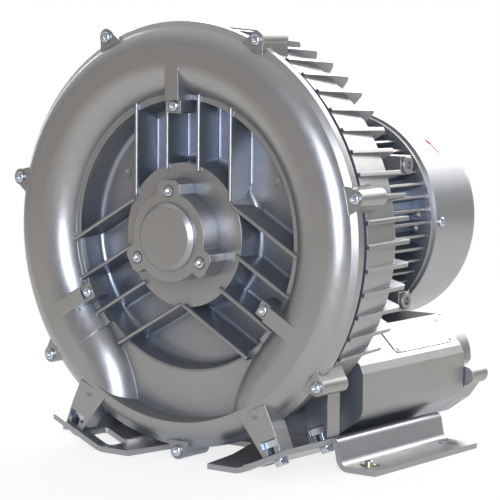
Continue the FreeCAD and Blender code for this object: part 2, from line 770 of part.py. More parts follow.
def make_impeller():
    """Disc with a bladed rim: a row of pockets on each side of the rim's middle web."""
    body = new_body("impeller")
    front, back = D.impeller_front, impeller_back
    middle = (front + back) / 2
    rim_inner = wall_inside + 3 * D.running_gap
    floor = rim_inner + 4
    sweep = D.impeller_width / 2 - 1
    outline = [
        (front, rim_inner), (front, floor, sweep), (middle - 1, floor + sweep),
        (middle - 1, D.impeller_radius), (middle + 1, D.impeller_radius),
        (middle + 1, floor + sweep, sweep), (back, floor), (back, rim_inner),
        (disc_back, rim_inner), (disc_back, D.impeller_hub), (hub_back, D.impeller_hub),
        (hub_back, D.impeller_seat), (disc_front, D.impeller_seat), (disc_front, rim_inner),
    ]
    revolve(body, [outline])
    blade = rectangle(front, back, floor - 2, D.impeller_radius)
    pad(body, "YZ_Plane", [blade], -D.blade_thickness / 2, D.blade_thickness)
    repeat(body, [body.Tip], D.blade_count)
    keyway = rectangle(-D.key_width / 2, D.key_width / 2, ZERO, D.impeller_seat + 3)
    pocket(body, "XZ_Plane", [keyway], disc_front - 1, hub_back - disc_front + 2)


def make_rear_housing():
    """Finned casting behind the impeller, with the rear half of the ring channel."""
    body = new_body("rear_housing")
    back = D.drum_back
    seal_front = back - D.seal_width - 1
    outline = [
        (ZERO, cavity_radius), (ZERO, D.housing_flange),
        (D.housing_flange_edge, D.housing_flange), (D.housing_flange_edge, D.housing_step),
        (D.housing_step_end, D.housing_step), (D.housing_step_end, D.drum_front_radius),
        (back - D.drum_round, D.drum_rear_radius, -D.drum_round),
        (back, D.drum_rear_radius - D.drum_round), (back, D.seal_outer),
        (seal_front, D.seal_outer), (seal_front, D.seal_land + 2), (hub_back + 1, D.seal_land + 2),
        (hub_back + 1, D.impeller_hub + 1.5), (disc_back + 1, D.impeller_hub + 1.5),
        (disc_back + 1, wall_inside), (cavity_back, wall_inside), (cavity_back, cavity_radius),
    ]
    revolve(body, [outline])
    add_drum_fins(body)
    pad(body, "XZ_Plane", [lug_outline()], ZERO, D.rear_lug_length)
    repeat(body, [body.Tip], D.lug_count)
    pad(body, "XZ_Plane", both_sides(rear_leg_outline()), D.rear_leg_front, D.rear_leg_width)
    channel = [
        (cavity_back - 1, channel_inner), (cavity_back, channel_inner, D.channel_radius),
        (cavity_back + D.channel_radius, D.channel_centre, D.channel_radius),
        (cavity_back, channel_outer), (cavity_back - 1, channel_outer),
    ]
    groove(body, [channel], D.channel_half_sweep * 2 - 4)
    cavity = rectangle(Size(-1), cavity_back, wall_inside + 0.5, cavity_radius)
    groove(body, [cavity])
    pocket(body, "XZ_Plane", circles(lug_places, D.cover_screw), Size(-1), 16)
    pocket(body, "XZ_Plane", circles(motor_places, D.motor_screw), back - 12, 13)
    tee_slots(body, D.rear_leg_front - 1, D.rear_leg_width - 3, rear_leg_x)


def add_drum_fins(body):
    """Radial fins over the drum and down its back wall, all round but the bottom."""
    foot = D.drum_rear_radius - D.drum_round - 4
    outline = [
        (D.housing_step_end, D.housing_step - 4), (D.housing_step_end, D.fin_front_radius),
        (D.fin_back - 5, D.fin_rear_radius, -Size(6)), (D.fin_back, D.fin_rear_radius - 5),
        (D.fin_back, D.motor_flange_radius + 18), (D.drum_back - 2, D.motor_flange_radius + 3),
        (D.drum_back - 2, foot), (D.drum_back - D.drum_round - 4, foot),
    ]
    radial_plate(body, outline, D.fin_thickness, -360 / D.drum_fins * D.fin_run)
    repeat(body, [body.Tip], D.fin_run * 2 + 1, 360 / D.drum_fins * D.fin_run * 2)


def radial_plate(body, outline, thickness, angle):
    """Plate in a plane through the rotor axis, turned from the top; outline is (depth, radius)."""
    sketch = new_sketch(body, "YZ_Plane", [outline])
    sketch.AttachmentOffset = FreeCAD.Placement(
        FreeCAD.Vector(), FreeCAD.Rotation(FreeCAD.Vector(1, 0, 0), float(angle)))
    bind(sketch, "AttachmentOffset.Rotation.Angle", angle)
    feature = body.newObject("PartDesign::Pad", body.Label + "_plate")
    feature.Profile = (sketch, [""])
    feature.SideType = "Symmetric"
    feature.Length = float(thickness)
    bind(feature, "Length", thickness)
    return feature


def rear_leg_outline():
    inner, outer = rear_leg_x - 10, rear_leg_x + 6
    return [(inner - 6, Size(-104)), (inner, below_axis(foot_top(inner)) + 0.3),
            (outer, below_axis(foot_top(outer)) + 0.3), (outer, Size(-96)), (Size(88), Size(-96))]


slot_ledge = Size(5)
slot_top = slot_ledge + D.foot_nut_height + 0.6


def tilted_point(x, along, up):
    """Point on the slanted sheet at x, moved along the sheet and square to it."""
    run = root(1 + D.foot_slope * D.foot_slope)
    east, north = 1 / run, D.foot_slope / run
    base = below_axis(foot_top(x)) + 0.3
    return (x + east * along - north * up, base + north * along + east * up)


def tee_slots(body, start, length, x):
    """Undercut slots for the foot nuts, open to the front and down to the sheet."""
    neck, wide = D.foot_screw + 0.5, D.foot_nut_width / 2 + 0.4
    low, high = slot_ledge, slot_top
    corners = [(-neck, -1), (neck, -1), (neck, low), (wide, low), (wide, high), (-wide, high),
               (-wide, low), (-neck, low)]
    outline = [tilted_point(x, along, up) for along, up in corners]
    pocket(body, "XZ_Plane", both_sides(outline), start, length)


def make_foot_bracket():
    """One bent sheet: two inner plates on the floor, a slanted rise to a ridge at each side,
    and behind the front legs a steep wall down to an outer foot flange with two slots."""
    body = new_body("foot_bracket", ZERO)
    gauge = D.sheet_thickness
    ridge = foot_top(D.ridge_x)
    bend_end, bend_start, ridge_start = D.foot_bend + 3.7, D.foot_bend + 5.2, D.ridge_x - 2.5
    half = [
        (D.foot_bend - 4, gauge, Size(19)), (bend_end, foot_top(bend_end)),
        (ridge_start, foot_top(ridge_start), Size(-5)), (D.ridge_x + 4.4, ridge - 4.6),
        (D.foot_wall_x + 0.5, gauge + 4.8, Size(6)), (D.foot_wall_x + 6.4, gauge),
        (D.foot_half_width, gauge), (D.foot_half_width, ZERO),
        (D.foot_wall_x + 6.4, ZERO, Size(-10)), (D.foot_wall_x - 3.4, gauge + 4),
        (D.ridge_x + 0.5, ridge - 5.4), (D.ridge_x - 0.9, ridge - 4.7),
        (bend_start, foot_top(bend_start) - 4.37, Size(-23)), (D.foot_bend - 4, ZERO),
    ]
    other = mirrored(half)
    pad(body, "XZ_Plane", [half + other[1:] + other[:1]], -D.foot_front,
        D.foot_front + D.foot_back)
    width = D.foot_half_width
    front = -D.foot_front
    outer = rectangle(D.ridge_x - 0.5, width + 1, front - 1, D.outer_foot_front)
    pocket(body, "XY_Plane", both_sides(outer), Size(-1), 40)
    notch = [(Size(-37), front - 1), (Size(37), front - 1), (Size(30), Size(17)),
             (Size(15), Size(61)), (Size(-15), Size(61)), (Size(-30), Size(17))]
    pocket(body, "XY_Plane", [notch], Size(-1), 10)
    pocket(body, "XY_Plane", both_sides(window_outline()), Size(-1), 20)
    slots = []
    for side in (-1, 1):
        for row in (D.slot_setback, D.slot_setback + D.slot_spacing_y):
            slots.append(slot_outline(D.slot_spacing_x / 2 * side, row))
    pocket(body, "XY_Plane", slots, Size(-1), 10)
    holes = []
    for x, depth in ((leg_x, leg_screw_depth), (rear_leg_x, rear_leg_screw_depth)):
        middle_x, _ = tilted_point(x, ZERO, -D.sheet_thickness / 2 - 0.3)
        holes += [(middle_x * side, depth, D.foot_screw + 1.6) for side in (-1, 1)]
    pocket(body, "XY_Plane", holes, Size(-1), 40)


def window_outline():
    """Window with round corners, between the inner plate and the front leg."""
    low, high = D.window_x - D.window_width / 2, D.window_x + D.window_width / 2
    front, back, bend = Size(-13), Size(8), Size(4)
    return [(low + bend, front), (high - bend, front, bend), (high, front + bend),
            (high, back - bend, bend), (high - bend, back), (low + bend, back, bend),
            (low, back - bend), (low, front + bend, bend)]


def slot_outline(x, depth):
    """Slot along X with round ends, each end as two quarter arcs."""
    half = D.slot_width / 2
    reach = D.slot_length / 2 - half
    return [(x - reach, depth - half), (x + reach, depth - half, half),
            (x + reach + half, depth, half), (x + reach, depth + half),
            (x - reach, depth + half, half), (x - reach - half, depth, half)]


def make_motor_frame():
    """Finned motor casing with a front flange, side pads and the seat of the terminal box."""
    body = new_body("motor_frame")
    front, back = motor_front, D.frame_back
    bore = D.frame_radius - D.frame_wall
    flange_back = front + D.motor_flange_edge
    outline = [
        (front, D.seal_outer + 1), (front, D.motor_flange_radius),
        (flange_back, D.motor_flange_radius), (flange_back, D.frame_radius + 7),
        (flange_back + 8, D.frame_radius),
        (back, D.frame_radius), (back, bore), (flange_back, bore),
        (flange_back, D.seal_outer + 1),
    ]
    revolve(body, [outline])
    fin = rectangle(flange_back + 7, back, bore + 2, D.frame_fin_reach)
    pad(body, "YZ_Plane", [fin], -D.frame_fin_thickness / 2, D.frame_fin_thickness)
    repeat(body, [body.Tip], D.frame_fins)
    reach = D.tie_pad_reach
    pads = [rectangle(Size(50), reach, Size(40), Size(54)),
            rectangle(Size(50), reach, Size(-63), Size(-49))]
    pad(body, "XZ_Plane", pads + [mirrored(item) for item in pads], Size(148), 15)
    seat = rectangle(box_front - 2, box_back + 2, box_low - 2, box_high + 2)
    pad(body, "YZ_Plane", [seat], box_seat, D.frame_fin_reach - D.frame_radius + 8)
    pocket(body, "XZ_Plane", circles(motor_places, D.motor_screw + 0.2), front - 1, 30)


def make_motor_inside():
    bore = D.frame_radius - D.frame_wall
    gap = Size(0.5)
    make_ring("stator_core", rectangle(core_front, core_back, D.rotor_radius + gap, bore))
    body = new_body("stator_windings")
    head = D.winding_overhang
    inner, outer = D.rotor_radius + 3, bore - 2
    revolve(body, [rectangle(core_front - head, core_front, inner, outer),
                   rectangle(core_back, core_back + head, inner, outer)])
    make_ring("rotor_core", rectangle(core_front, core_back, D.rotor_seat, D.rotor_radius))
    make_ring("shaft_seal", [
        (seal_front, D.seal_outer), (seal_front, D.seal_land + D.fit_gap),
        (seal_front + 2, D.seal_land + D.fit_gap), (seal_front + 3, D.seal_land + 3),
        (seal_front + D.seal_width, D.seal_land + 3), (seal_front + D.seal_width, D.seal_outer)])


def make_end_shield():
    """Rear end shield with the rear bearing seat and the rim that carries the fan cowl."""
    back = D.frame_back
    bore = D.frame_radius - D.frame_wall
    rim = D.cowl_radius - D.cowl_wall
    seat = D.rear_bearing_outer
    outline = [
        (back - 4, bore - 5), (back - 4, bore), (back, bore), (back, rim),
        (back + D.shield_length, rim), (back + D.shield_length, rim - 4), (back + 6, rim - 4),
        (back + 6, seat + 6), (rear_bearing_back + 3, seat + 6),
        (rear_bearing_back + 3, D.rear_journal + 4), (rear_bearing_back, D.rear_journal + 4),
        (rear_bearing_back, seat), (rear_bearing_front, seat), (rear_bearing_front, seat + 6),
        (back, seat + 8), (back, bore - 5),
    ]
    body = make_ring("rear_end_shield", outline)
    pocket(body, "XY_Plane", [(ZERO, cowl_screw_depth, Size(2))], rim - 8, 12)
    repeat(body, [body.Tip], 4)


def make_fan():
    body = new_body("cooling_fan")
    front = rear_bearing_back + 6
    hub = D.fan_seat + 7
    revolve(body, [[
        (front, D.fan_seat), (front, hub), (fan_back - 3, hub), (fan_back - 3, D.fan_radius),
        (fan_back - 1, D.fan_radius), (fan_back - 1, hub), (fan_back, hub),
        (fan_back, D.fan_seat)]])
    blade = [(front, hub - 2), (front + 6, D.fan_radius), (fan_back - 2, D.fan_radius),
             (fan_back - 2, hub - 2)]
    pad(body, "YZ_Plane", [blade], Size(-1), 2)
    repeat(body, [body.Tip], D.fan_blades)


def make_cowl():
    """Pressed fan cover with a rounded rear edge and a ring of intake slots."""
    front, back = D.cowl_front, D.cowl_back
    outer, wall, bend = D.cowl_radius, D.cowl_wall, D.cowl_round
    body = make_ring("fan_cowl", [
        (front, outer - wall), (front, outer), (back - bend, outer, -bend),
        (back, outer - bend), (back, ZERO), (back - wall, ZERO),
        (back - wall, outer - bend, bend - wall), (back - bend, outer - wall)])
    slot = rectangle(Size(-2), Size(2), Size(24), outer - bend - 6)
    pocket(body, "XZ_Plane", [slot], back - wall - 1, wall + 2)
    repeat(body, [body.Tip], D.intake_slots)
    pocket(body, "XY_Plane", [(ZERO, cowl_screw_depth, Size(2.2))], outer - 6, 10)
    repeat(body, [body.Tip], 4)
    screws = new_body("cowl_screws")
    pad(screws, "XY_Plane", [(ZERO, cowl_screw_depth, Size(4))], outer, 2.6)
    pad(screws, "XY_Plane", [(ZERO, cowl_screw_depth, Size(2))], outer - 7, 7)
    socket = hexagon(ZERO, cowl_screw_depth, Size(4))
    pocket(screws, "XY_Plane", [socket], outer + 1.2, 3)
    repeat_all(screws, 4)


def make_terminal_box():
    """Box with a lid on the left side of the motor, with the connection block inside."""
    body = new_body("terminal_box")
    outer = rectangle(box_front, box_back, box_low, box_high)
    inner = rectangle(box_front + 3, box_back - 3, box_low + 3, box_high - 3)
    pad(body, "YZ_Plane", [outer], box_open, D.box_depth)
    pocket(body, "YZ_Plane", [inner], box_open - 1, D.box_depth - 2)
    pads = [(depth, z, Size(5)) for depth, z in box_screws]
    pad(body, "YZ_Plane", pads, box_open, D.box_depth - 1)
    pocket(body, "YZ_Plane", [(depth, z, Size(2)) for depth, z in box_screws], box_open - 1, 16)
    pocket(body, "XY_Plane", plug_circles(Size(10)), box_low - 1, 5)
    gasket = new_body("terminal_box_gasket")
    pad(gasket, "YZ_Plane", [outer, inner], box_open - D.gasket_thickness, D.gasket_thickness)
    lid_face = box_open - D.gasket_thickness - 5
    lid = new_body("terminal_box_lid")
    pad(lid, "YZ_Plane", [outer], lid_face, 5)
    pocket(lid, "YZ_Plane", [(depth, z, Size(2.2)) for depth, z in box_screws], lid_face - 1, 7)
    screws = new_body("lid_screws")
    pad(screws, "YZ_Plane", [(depth, z, Size(4)) for depth, z in box_screws], lid_face - 2.5, 2.5)
    pad(screws, "YZ_Plane", [(depth, z, Size(2)) for depth, z in box_screws], lid_face, 18)
    sockets = [hexagon(depth, z, Size(4)) for depth, z in box_screws]
    pocket(screws, "YZ_Plane", sockets, lid_face - 4, 2.8)
    plugs = new_body("cable_entry_plugs")
    pad(plugs, "XY_Plane", plug_circles(Size(10)), box_low, 6)
    pad(plugs, "XY_Plane", [hexagon(x, depth, Size(24)) for x, depth, _ in plug_circles(ZERO + 10)],
        box_low - 5, 5)
    block = new_body("terminal_block")
    middle = (box_front + box_back) / 2
    level = (box_low + box_high) / 2
    floor = box_seat_face - 3
    pad(block, "YZ_Plane", [rectangle(middle - 24, middle + 24, level - 15, level + 15)],
        floor - 10, 10)
    studs = new_body("terminal_studs")
    places = [(middle + 15 * column, level + 8 * row) for row in (-1, 1) for column in (-1, 0, 1)]
    pad(studs, "YZ_Plane", [(depth, z, Size(2)) for depth, z in places], floor - 20, 10)


def plug_circles(radius):
    middle = (box_open + box_seat_face) / 2
    return [(middle, box_front + 26, radius), (middle, box_back - 26, radius)]


def silencer_half(inset):
    """Right half of the silencer's cross-section, from the top middle to the bottom middle."""
    side = D.silencer_half_width - inset
    top = -D.silencer_top - inset
    floor = -D.silencer_floor + inset
    bevel = D.silencer_bevel
    return [(Size(40), top - 20), (Size(60), top), (side - bevel - 3, top),
            (side - 3, top - bevel), (side, top - bevel - 6), (side, floor + 26, Size(-16)),
            (side - 8, floor + 13.5), (side - 27, floor)]


def end_cover_outline():
    """The rear cover is narrower than the housing, but for a round ear at each side."""
    side, floor, ear = D.silencer_half_width, -D.silencer_floor, Size(7)
    top = -D.silencer_top - 4
    half = [(Size(40), top - 16), (Size(60), top), (side - 34, top), (side - 12, top - 22),
            (side - 10, Size(-107)), (side + 1, Size(-109), -ear), (side + ear + 1, Size(-116), -ear),
            (side + 1, Size(-123)), (side - 8, floor + 13.5), (side - 27, floor)]
    other = mirrored(half)
    return half + other[1:] + other[:1]


def silencer_outline(inset):
    half = silencer_half(inset)
    other = mirrored(half)
    return half + other[1:] + other[:1]


def make_silencer():
    """Silencer housing under the motor: two lined chambers side by side."""
    front, back = D.silencer_front, D.silencer_back
    places = [(D.chamber_offset * side, -D.chamber_drop) for side in (-1, 1)]
    body = new_body("silencer_housing")
    pad(body, "XZ_Plane", [silencer_outline(ZERO)], drum_seat, back - drum_seat)
    pocket(body, "XZ_Plane", circles(places, D.chamber_radius), front + 12, back - front)
    pocket(body, "XZ_Plane", circles(cover_holes, Size(2.5)), back - 14, 16)
    liners = new_body("silencer_liners")
    inner = D.chamber_radius - D.liner_wall
    pad(liners, "XZ_Plane", circles(places, D.chamber_radius) + circles(places, inner),
        front + 12, back - front - 12)
    gasket = new_body("silencer_gasket")
    thin = D.gasket_thickness
    pad(gasket, "XZ_Plane", [silencer_outline(Size(2))] + circles(places, D.chamber_radius + 1),
        back, thin)
    pocket(gasket, "XZ_Plane", circles(cover_holes, Size(2.8)), back - 1, 3)
    cover = new_body("silencer_end_cover")
    pad(cover, "XZ_Plane", [end_cover_outline()], back + thin, D.end_cover_thickness)
    pad(cover, "XZ_Plane", circles(places, D.port_radius + 6), back + thin + 5,
        D.end_cover_thickness - 1)
    pocket(cover, "XZ_Plane", circles(places, D.port_radius), back, D.end_cover_thickness + 8)
    pocket(cover, "XZ_Plane", circles(cover_holes, Size(2.8)), back, 40)
    pocket(cover, "XZ_Plane", circles(cover_holes, Size(5.2)), back + thin + 10, 40)
    rear_screw_set("silencer_cover_screws", cover_holes, back + thin + 10, Size(4.5), 4,
                   Size(2.5), Size(22))


def tilted_solid(kind, x, depth, side, up, sizes):
    """Primitive standing square on the slanted sheet of one side."""
    item = doc.addObject(kind, "foot_part")
    for path, value in sizes.items():
        setattr(item, path, float(value))
        bind(item, path, value)
    across = sizes["Width"] / 2 if "Width" in sizes else ZERO
    along = -sizes["Length"] / 2 if "Length" in sizes else ZERO
    base_x, base_z = tilted_point(x, along if side > 0 else -along, up)
    angle = Size(math.degrees(math.atan(D.foot_slope.number)),
                 "(atan(%s) / 1 deg)" % D.foot_slope.formula) * (-side)
    y = joint_plane + depth - across
    turn_axis = FreeCAD.Vector(0, 1, 0)
    item.Placement = FreeCAD.Placement(
        FreeCAD.Vector(float(base_x) * side, y.number, float(base_z + D.axis_height)),
        FreeCAD.Rotation(turn_axis, angle.number))
    bind(item, "Placement.Base.x", base_x * side)
    bind(item, "Placement.Base.y", y)
    bind(item, "Placement.Base.z", base_z + D.axis_height)
    bind(item, "Placement.Rotation.Angle", angle)
    return item


def make_foot_fasteners():
    """Screws from below through the slanted sheet into nuts in the slots of the legs."""
    screws, nuts = [], []
    for x, depth in ((leg_x, leg_screw_depth), (rear_leg_x, rear_leg_screw_depth)):
        for side in (-1, 1):
            gauge = D.sheet_thickness + 0.55
            head = tilted_solid("Part::Cylinder", x, depth, side, -gauge - 4.5,
                                {"Radius": D.foot_screw + 2.5, "Height": Size(4.5)})
            shank = tilted_solid("Part::Cylinder", x, depth, side, -gauge - 1,
                                 {"Radius": D.foot_screw, "Height": gauge + 1 + slot_top - 0.3})
            screws.append(fuse("foot_screw", [head, shank]))
            block = tilted_solid("Part::Box", x, depth, side, slot_ledge + 0.3, {
                "Length": D.foot_nut_width, "Width": D.foot_nut_depth,
                "Height": D.foot_nut_height})
            thread = tilted_solid("Part::Cylinder", x, depth, side, Size(4),
                                  {"Radius": D.foot_screw, "Height": D.foot_nut_height + 4})
            nuts.append(cut("foot_nut", block, thread))
    group("foot_screws", screws)
    group("foot_nuts", nuts)


def fuse(name, items):
    feature = doc.addObject("Part::MultiFuse", name)
    feature.Shapes = items
    return feature


def cut(name, base, tool):
    feature = doc.addObject("Part::Cut", name)
    feature.Base = base
    feature.Tool = tool
    return feature


def group(label, items):
    feature = doc.addObject("Part::Compound", label)
    feature.Links = items
    feature.Label = label
    nodes.append(feature)


def check_and_write():
    """Every object has to be sound before anything is written."""
    doc.recompute()
    for item in doc.Objects:
        if "Invalid" in item.State or "Error" in item.State:
            raise RuntimeError("%s is %s: %s" % (item.Label, item.State, item.getStatusString()))
    for body in nodes:
        if body.Shape.isNull() or not body.Shape.isValid():
            raise RuntimeError(body.Label + " has no valid shape")
    os.makedirs("parts", exist_ok=True)
    for body in nodes:
        body.Shape.exportStep("parts/%s.step" % body.Label)
        print("%-26s %d solids %10.0f mm3" % (body.Label, len(body.Shape.Solids), body.Shape.Volume))


make_front_cover()
make_cap()
screw_set("bearing_cap_screws", cap_places, 2 - D.hub_front - D.cap_thickness, D.cap_screw + 1.6,
          2.6, D.cap_screw, D.cap_thickness + 6)
screw_set("pad_screws", pad_places, pad_seat, Size(4), 2.4, Size(2.5), Size(11))
screw_set("cover_screws", lug_places, -D.lug_front, D.cover_screw_head, 2.7, D.cover_screw,
          D.lug_front + 14)
make_ring("wave_spring", rectangle(
    -D.hub_front + 0.25, front_bearing_front - 0.25, D.front_bearing_outer - 6,
    D.front_bearing_outer - 0.5))
make_bearing("front", front_bearing_front, D.front_bearing_width, D.front_bearing_outer,
             D.front_journal)
make_bearing("rear", rear_bearing_front, D.rear_bearing_width, D.rear_bearing_outer,
             D.rear_journal)
make_shaft_line()
make_impeller()
make_rear_housing()
make_motor_frame()
rear_screw_set("motor_flange_screws", motor_places, motor_front + D.motor_flange_edge, Size(5), 5,
               D.motor_screw, D.motor_flange_edge + 11)
make_motor_inside()
make_end_shield()
make_fan()
make_cowl()
make_terminal_box()
make_silencer()
make_foot_bracket()
make_foot_fasteners()
check_and_write()
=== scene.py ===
import math

import bmesh
import bpy
import numpy as np
from mathutils import Matrix, Vector


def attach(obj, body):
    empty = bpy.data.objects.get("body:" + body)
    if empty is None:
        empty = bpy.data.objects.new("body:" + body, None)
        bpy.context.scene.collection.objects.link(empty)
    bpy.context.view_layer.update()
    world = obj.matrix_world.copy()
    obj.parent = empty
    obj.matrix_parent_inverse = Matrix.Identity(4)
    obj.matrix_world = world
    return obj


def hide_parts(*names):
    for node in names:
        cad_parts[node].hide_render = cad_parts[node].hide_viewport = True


# Looks of a side channel blower: the cast, turned and pressed parts of the frame get the finish
# that each was made with, and screws, fillets, threads, plate and arrow are surfaces worked out
# with numpy. The scene is in metres, and patterns take their sizes as multiples of MM. X right,
# Y back along the rotor axis, Z up, origin at the foot slots. "Depth" counts in millimetres from
# the joint plane towards the back, and the sizes below are in millimetres too.

MM = 0.001
AXIS_HEIGHT = 164
JOINT_PLANE = -100
WEB_DEPTH = 17.0
LUG_CIRCLE = 157
PAD_CIRCLE = 93.5
CAP_CIRCLE = 33.1
FLANGE_CIRCLE = 80
COWL_RADIUS = 84
PAD_REACH = 87
FIN_REACH = 78
PORT_SIDE, PORT_HEIGHT = 75, -105
LID_FACE = -122.0
SILENCER_BACK = 209.0
FOOT_SLOPE = 0.4375
FOOT_BEND = 64
SHEET_THICKNESS = 4
SHEET_GAP = 0.3
FOOT_SCREW_GAP = 0.55
FRONT_SLOT = (129.5, 46.5)
LEG_MARKS = ((76.5, -19, -120.5), (-76.5, -19, -120.5))

# Stage: the room's shade, the camera's line over the floor, and the point that lamps aim at
ROOM_SHADE_CODE = "#b4aaa0"
VIEW_LINE = (-0.598, 0.802, 0.0)
WHITE = (1, 1, 1, 1)
LAMP_AIM = (0, 0, 0.16)

# The fitted camera: the photograph's width and focal length in its pixels
SENSOR_WIDTH = 36
PHOTO_WIDTH = 500
FOCAL_PIXELS = 2256.88
CAMERA_PLACE = (1008.33, -1375.95, 323.84)

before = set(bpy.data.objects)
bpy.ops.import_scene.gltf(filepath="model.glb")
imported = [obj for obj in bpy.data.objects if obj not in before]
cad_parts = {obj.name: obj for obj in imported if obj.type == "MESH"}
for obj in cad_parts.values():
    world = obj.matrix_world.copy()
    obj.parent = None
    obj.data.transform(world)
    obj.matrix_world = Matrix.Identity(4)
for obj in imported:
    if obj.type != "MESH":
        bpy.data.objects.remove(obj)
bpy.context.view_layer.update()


# Colours and nodes

def colour(code):
    """sRGB hex to linear, per channel: c/12.92 up to 0.04045, else ((c + 0.055)/1.055)^2.4."""
    values = [int(code[i:i + 2], 16) / 255 for i in (1, 3, 5)]
    linear = [v / 12.92 if v <= 0.04045 else ((v + 0.055) / 1.055) ** 2.4 for v in values]
    return (*linear, 1.0)


def add_node(tree, kind, settings=None, inputs=None):
    """One node with its settings; an input is a value or the socket that feeds it."""
    item = tree.nodes.new(kind)
    for name, value in (settings or {}).items():
        setattr(item, name, value)
    for name, value in (inputs or {}).items():
        if isinstance(value, bpy.types.NodeSocket):
            tree.links.new(value, item.inputs[name])
        else:
            item.inputs[name].default_value = value
    return item


def new_material(name, shade, metallic, roughness, **sockets):
    """A Principled material; sockets are further values on the shader itself."""
    material = bpy.data.materials.new(name)
    material.use_nodes = True
    shader = material.node_tree.nodes["Principled BSDF"]
    shader.inputs["Base Color"].default_value = colour(shade)
    shader.inputs["Metallic"].default_value = metallic
    shader.inputs["Roughness"].default_value = roughness
    for label, value in sockets.items():
        label = label.replace("_", " ").title().replace("Ior", "IOR")
        shader.inputs[label].default_value = value
    return material


def place(material, stretch=(1, 1, 1)):
    """Object coordinates, stretched where the pattern runs along one direction."""
    tree = material.node_tree
    source = add_node(tree, "ShaderNodeTexCoord").outputs["Object"]
    return add_node(tree, "ShaderNodeMapping", None, {
        "Vector": source, "Scale": stretch}).outputs["Vector"]


def noise(material, size, stretch=(1, 1, 1), detail=3.0):
    """Noise whose features are about size across, in metres."""
    return add_node(material.node_tree, "ShaderNodeTexNoise", None, {
        "Vector": place(material, stretch), "Scale": 1 / size, "Detail": detail}).outputs["Fac"]


def spread(owner, factor, low, high, low_value=0.0, high_value=1.0):
    """Maps a factor's low..high onto two numbers; the owner is a material or the world."""
    return add_node(owner.node_tree, "ShaderNodeMapRange", None, {
        "Value": factor, "From Min": low, "From Max": high, "To Min": low_value,
        "To Max": high_value}).outputs["Result"]


def blend_colours(owner, factor, first, second):
    """Mix of two colours; the mixer's colour sockets share their names with its other kinds."""
    mix = add_node(owner.node_tree, "ShaderNodeMix", {"data_type": "RGBA"}, {0: factor})
    ends = [socket for socket in mix.inputs if socket.type == "RGBA"]
    for end, shade in zip(ends, (first, second)):
        if isinstance(shade, bpy.types.NodeSocket):
            owner.node_tree.links.new(shade, end)
        else:
            end.default_value = shade
    return [socket for socket in mix.outputs if socket.type == "RGBA"][0]


def combine(owner, operation, first, second=0.0):
    """One number from two by a named operation; a single number leaves the second unused."""
    return add_node(owner.node_tree, "ShaderNodeMath", {"operation": operation}, {
        0: first, 1: second}).outputs[0]


def along_line(owner, spot, line):
    """How far a spot lies along a line through the origin: their dot product."""
    return add_node(owner.node_tree, "ShaderNodeVectorMath", {"operation": "DOT_PRODUCT"}, {
        0: spot, 1: line}).outputs["Value"]


def openness_for_painted_shade(material, reach):
    """How open a spot is, 0 in deep corners to 1 on free faces, over reach metres: it darkens
    the paint's colour in corners as painted shade."""
    near = add_node(material.node_tree, "ShaderNodeAmbientOcclusion", {"samples": 6},
                    {"Distance": reach}).outputs["AO"]
    return spread(material, near, 0.25, 0.85)


def feed(material, label, socket):
    """Links a socket to the Principled shader's input of that label."""
    shader = material.node_tree.nodes["Principled BSDF"]
    material.node_tree.links.new(socket, shader.inputs[label])


def relief(material, *layers, edge=None):
    """Bump layers of (height socket, depth in metres), over edges rounded by a small radius."""
    tree = material.node_tree
    normal = None
    if edge:
        normal = add_node(tree, "ShaderNodeBevel", {"samples": 6}, {"Radius": edge})
        normal = normal.outputs["Normal"]
    for height, depth in layers:
        inputs = {"Height": height, "Distance": depth, "Strength": 1.0}
        if normal:
            inputs["Normal"] = normal
        normal = add_node(tree, "ShaderNodeBump", None, inputs).outputs["Normal"]
    feed(material, "Normal", normal)


# Finishes

def silver_casting():
    """Pressure die-cast aluminium under one coat of silver-grey metallic paint: a satin sheen
    with faint cloudiness, and a skin that follows the slight roughness of the casting."""
    material = new_material("painted_die_cast_aluminium", "#94928f", 0.8, 0.33)
    clouds = blend_colours(material, noise(material, 35 * MM, detail=4), colour("#918d87"),
                           colour("#9b9791"))
    # Base colour: a cool dark grey (#747980) in corners and recesses, fading to the clouds on free
    # faces, is painted shade.
    feed(material, "Base Color", blend_colours(
        material, openness_for_painted_shade(material, 40 * MM), colour("#747980"), clouds))
    feed(material, "Roughness", spread(material, noise(material, 6 * MM), 0.3, 0.7, 0.3, 0.38))
    relief(material, (noise(material, 1.1 * MM), 0.012 * MM), (noise(material, 7 * MM), 0.04 * MM),
           edge=0.9 * MM)
    return material


def silver_sheet():
    """Pressed steel under the same silver-grey paint: smoother and glossier than the castings."""
    material = new_material("painted_sheet_steel", "#999896", 0.8, 0.32)
    feed(material, "Base Color", blend_colours(
        material, noise(material, 30 * MM), colour("#959492"), colour("#9d9c9a")))
    feed(material, "Roughness", spread(material, noise(material, 12 * MM), 0.3, 0.7, 0.3, 0.35))
    return material


def zinc_steel():
    """Bright zinc-plated steel: cool, fairly shiny, with a fine crystalline mottle."""
    material = new_material("zinc_plated_steel", "#b9bdc2", 1.0, 0.25)
    feed(material, "Base Color", blend_colours(
        material, noise(material, 1.4 * MM), colour("#aab0b6"), colour("#c9ccd0")))
    relief(material, (noise(material, 0.8 * MM), 0.008 * MM), edge=0.25 * MM)
    return material


def yellow_zinc():
    """Zinc-plated steel with a yellow chromate film, as on loose hardware."""
    material = new_material("yellow_chromate_steel", "#bfa768", 1.0, 0.28)
    feed(material, "Base Color", blend_colours(
        material, noise(material, 3 * MM), colour("#b39a58"), colour("#c9bd9a")))
    relief(material, (noise(material, 0.8 * MM), 0.008 * MM), edge=0.25 * MM)
    return material


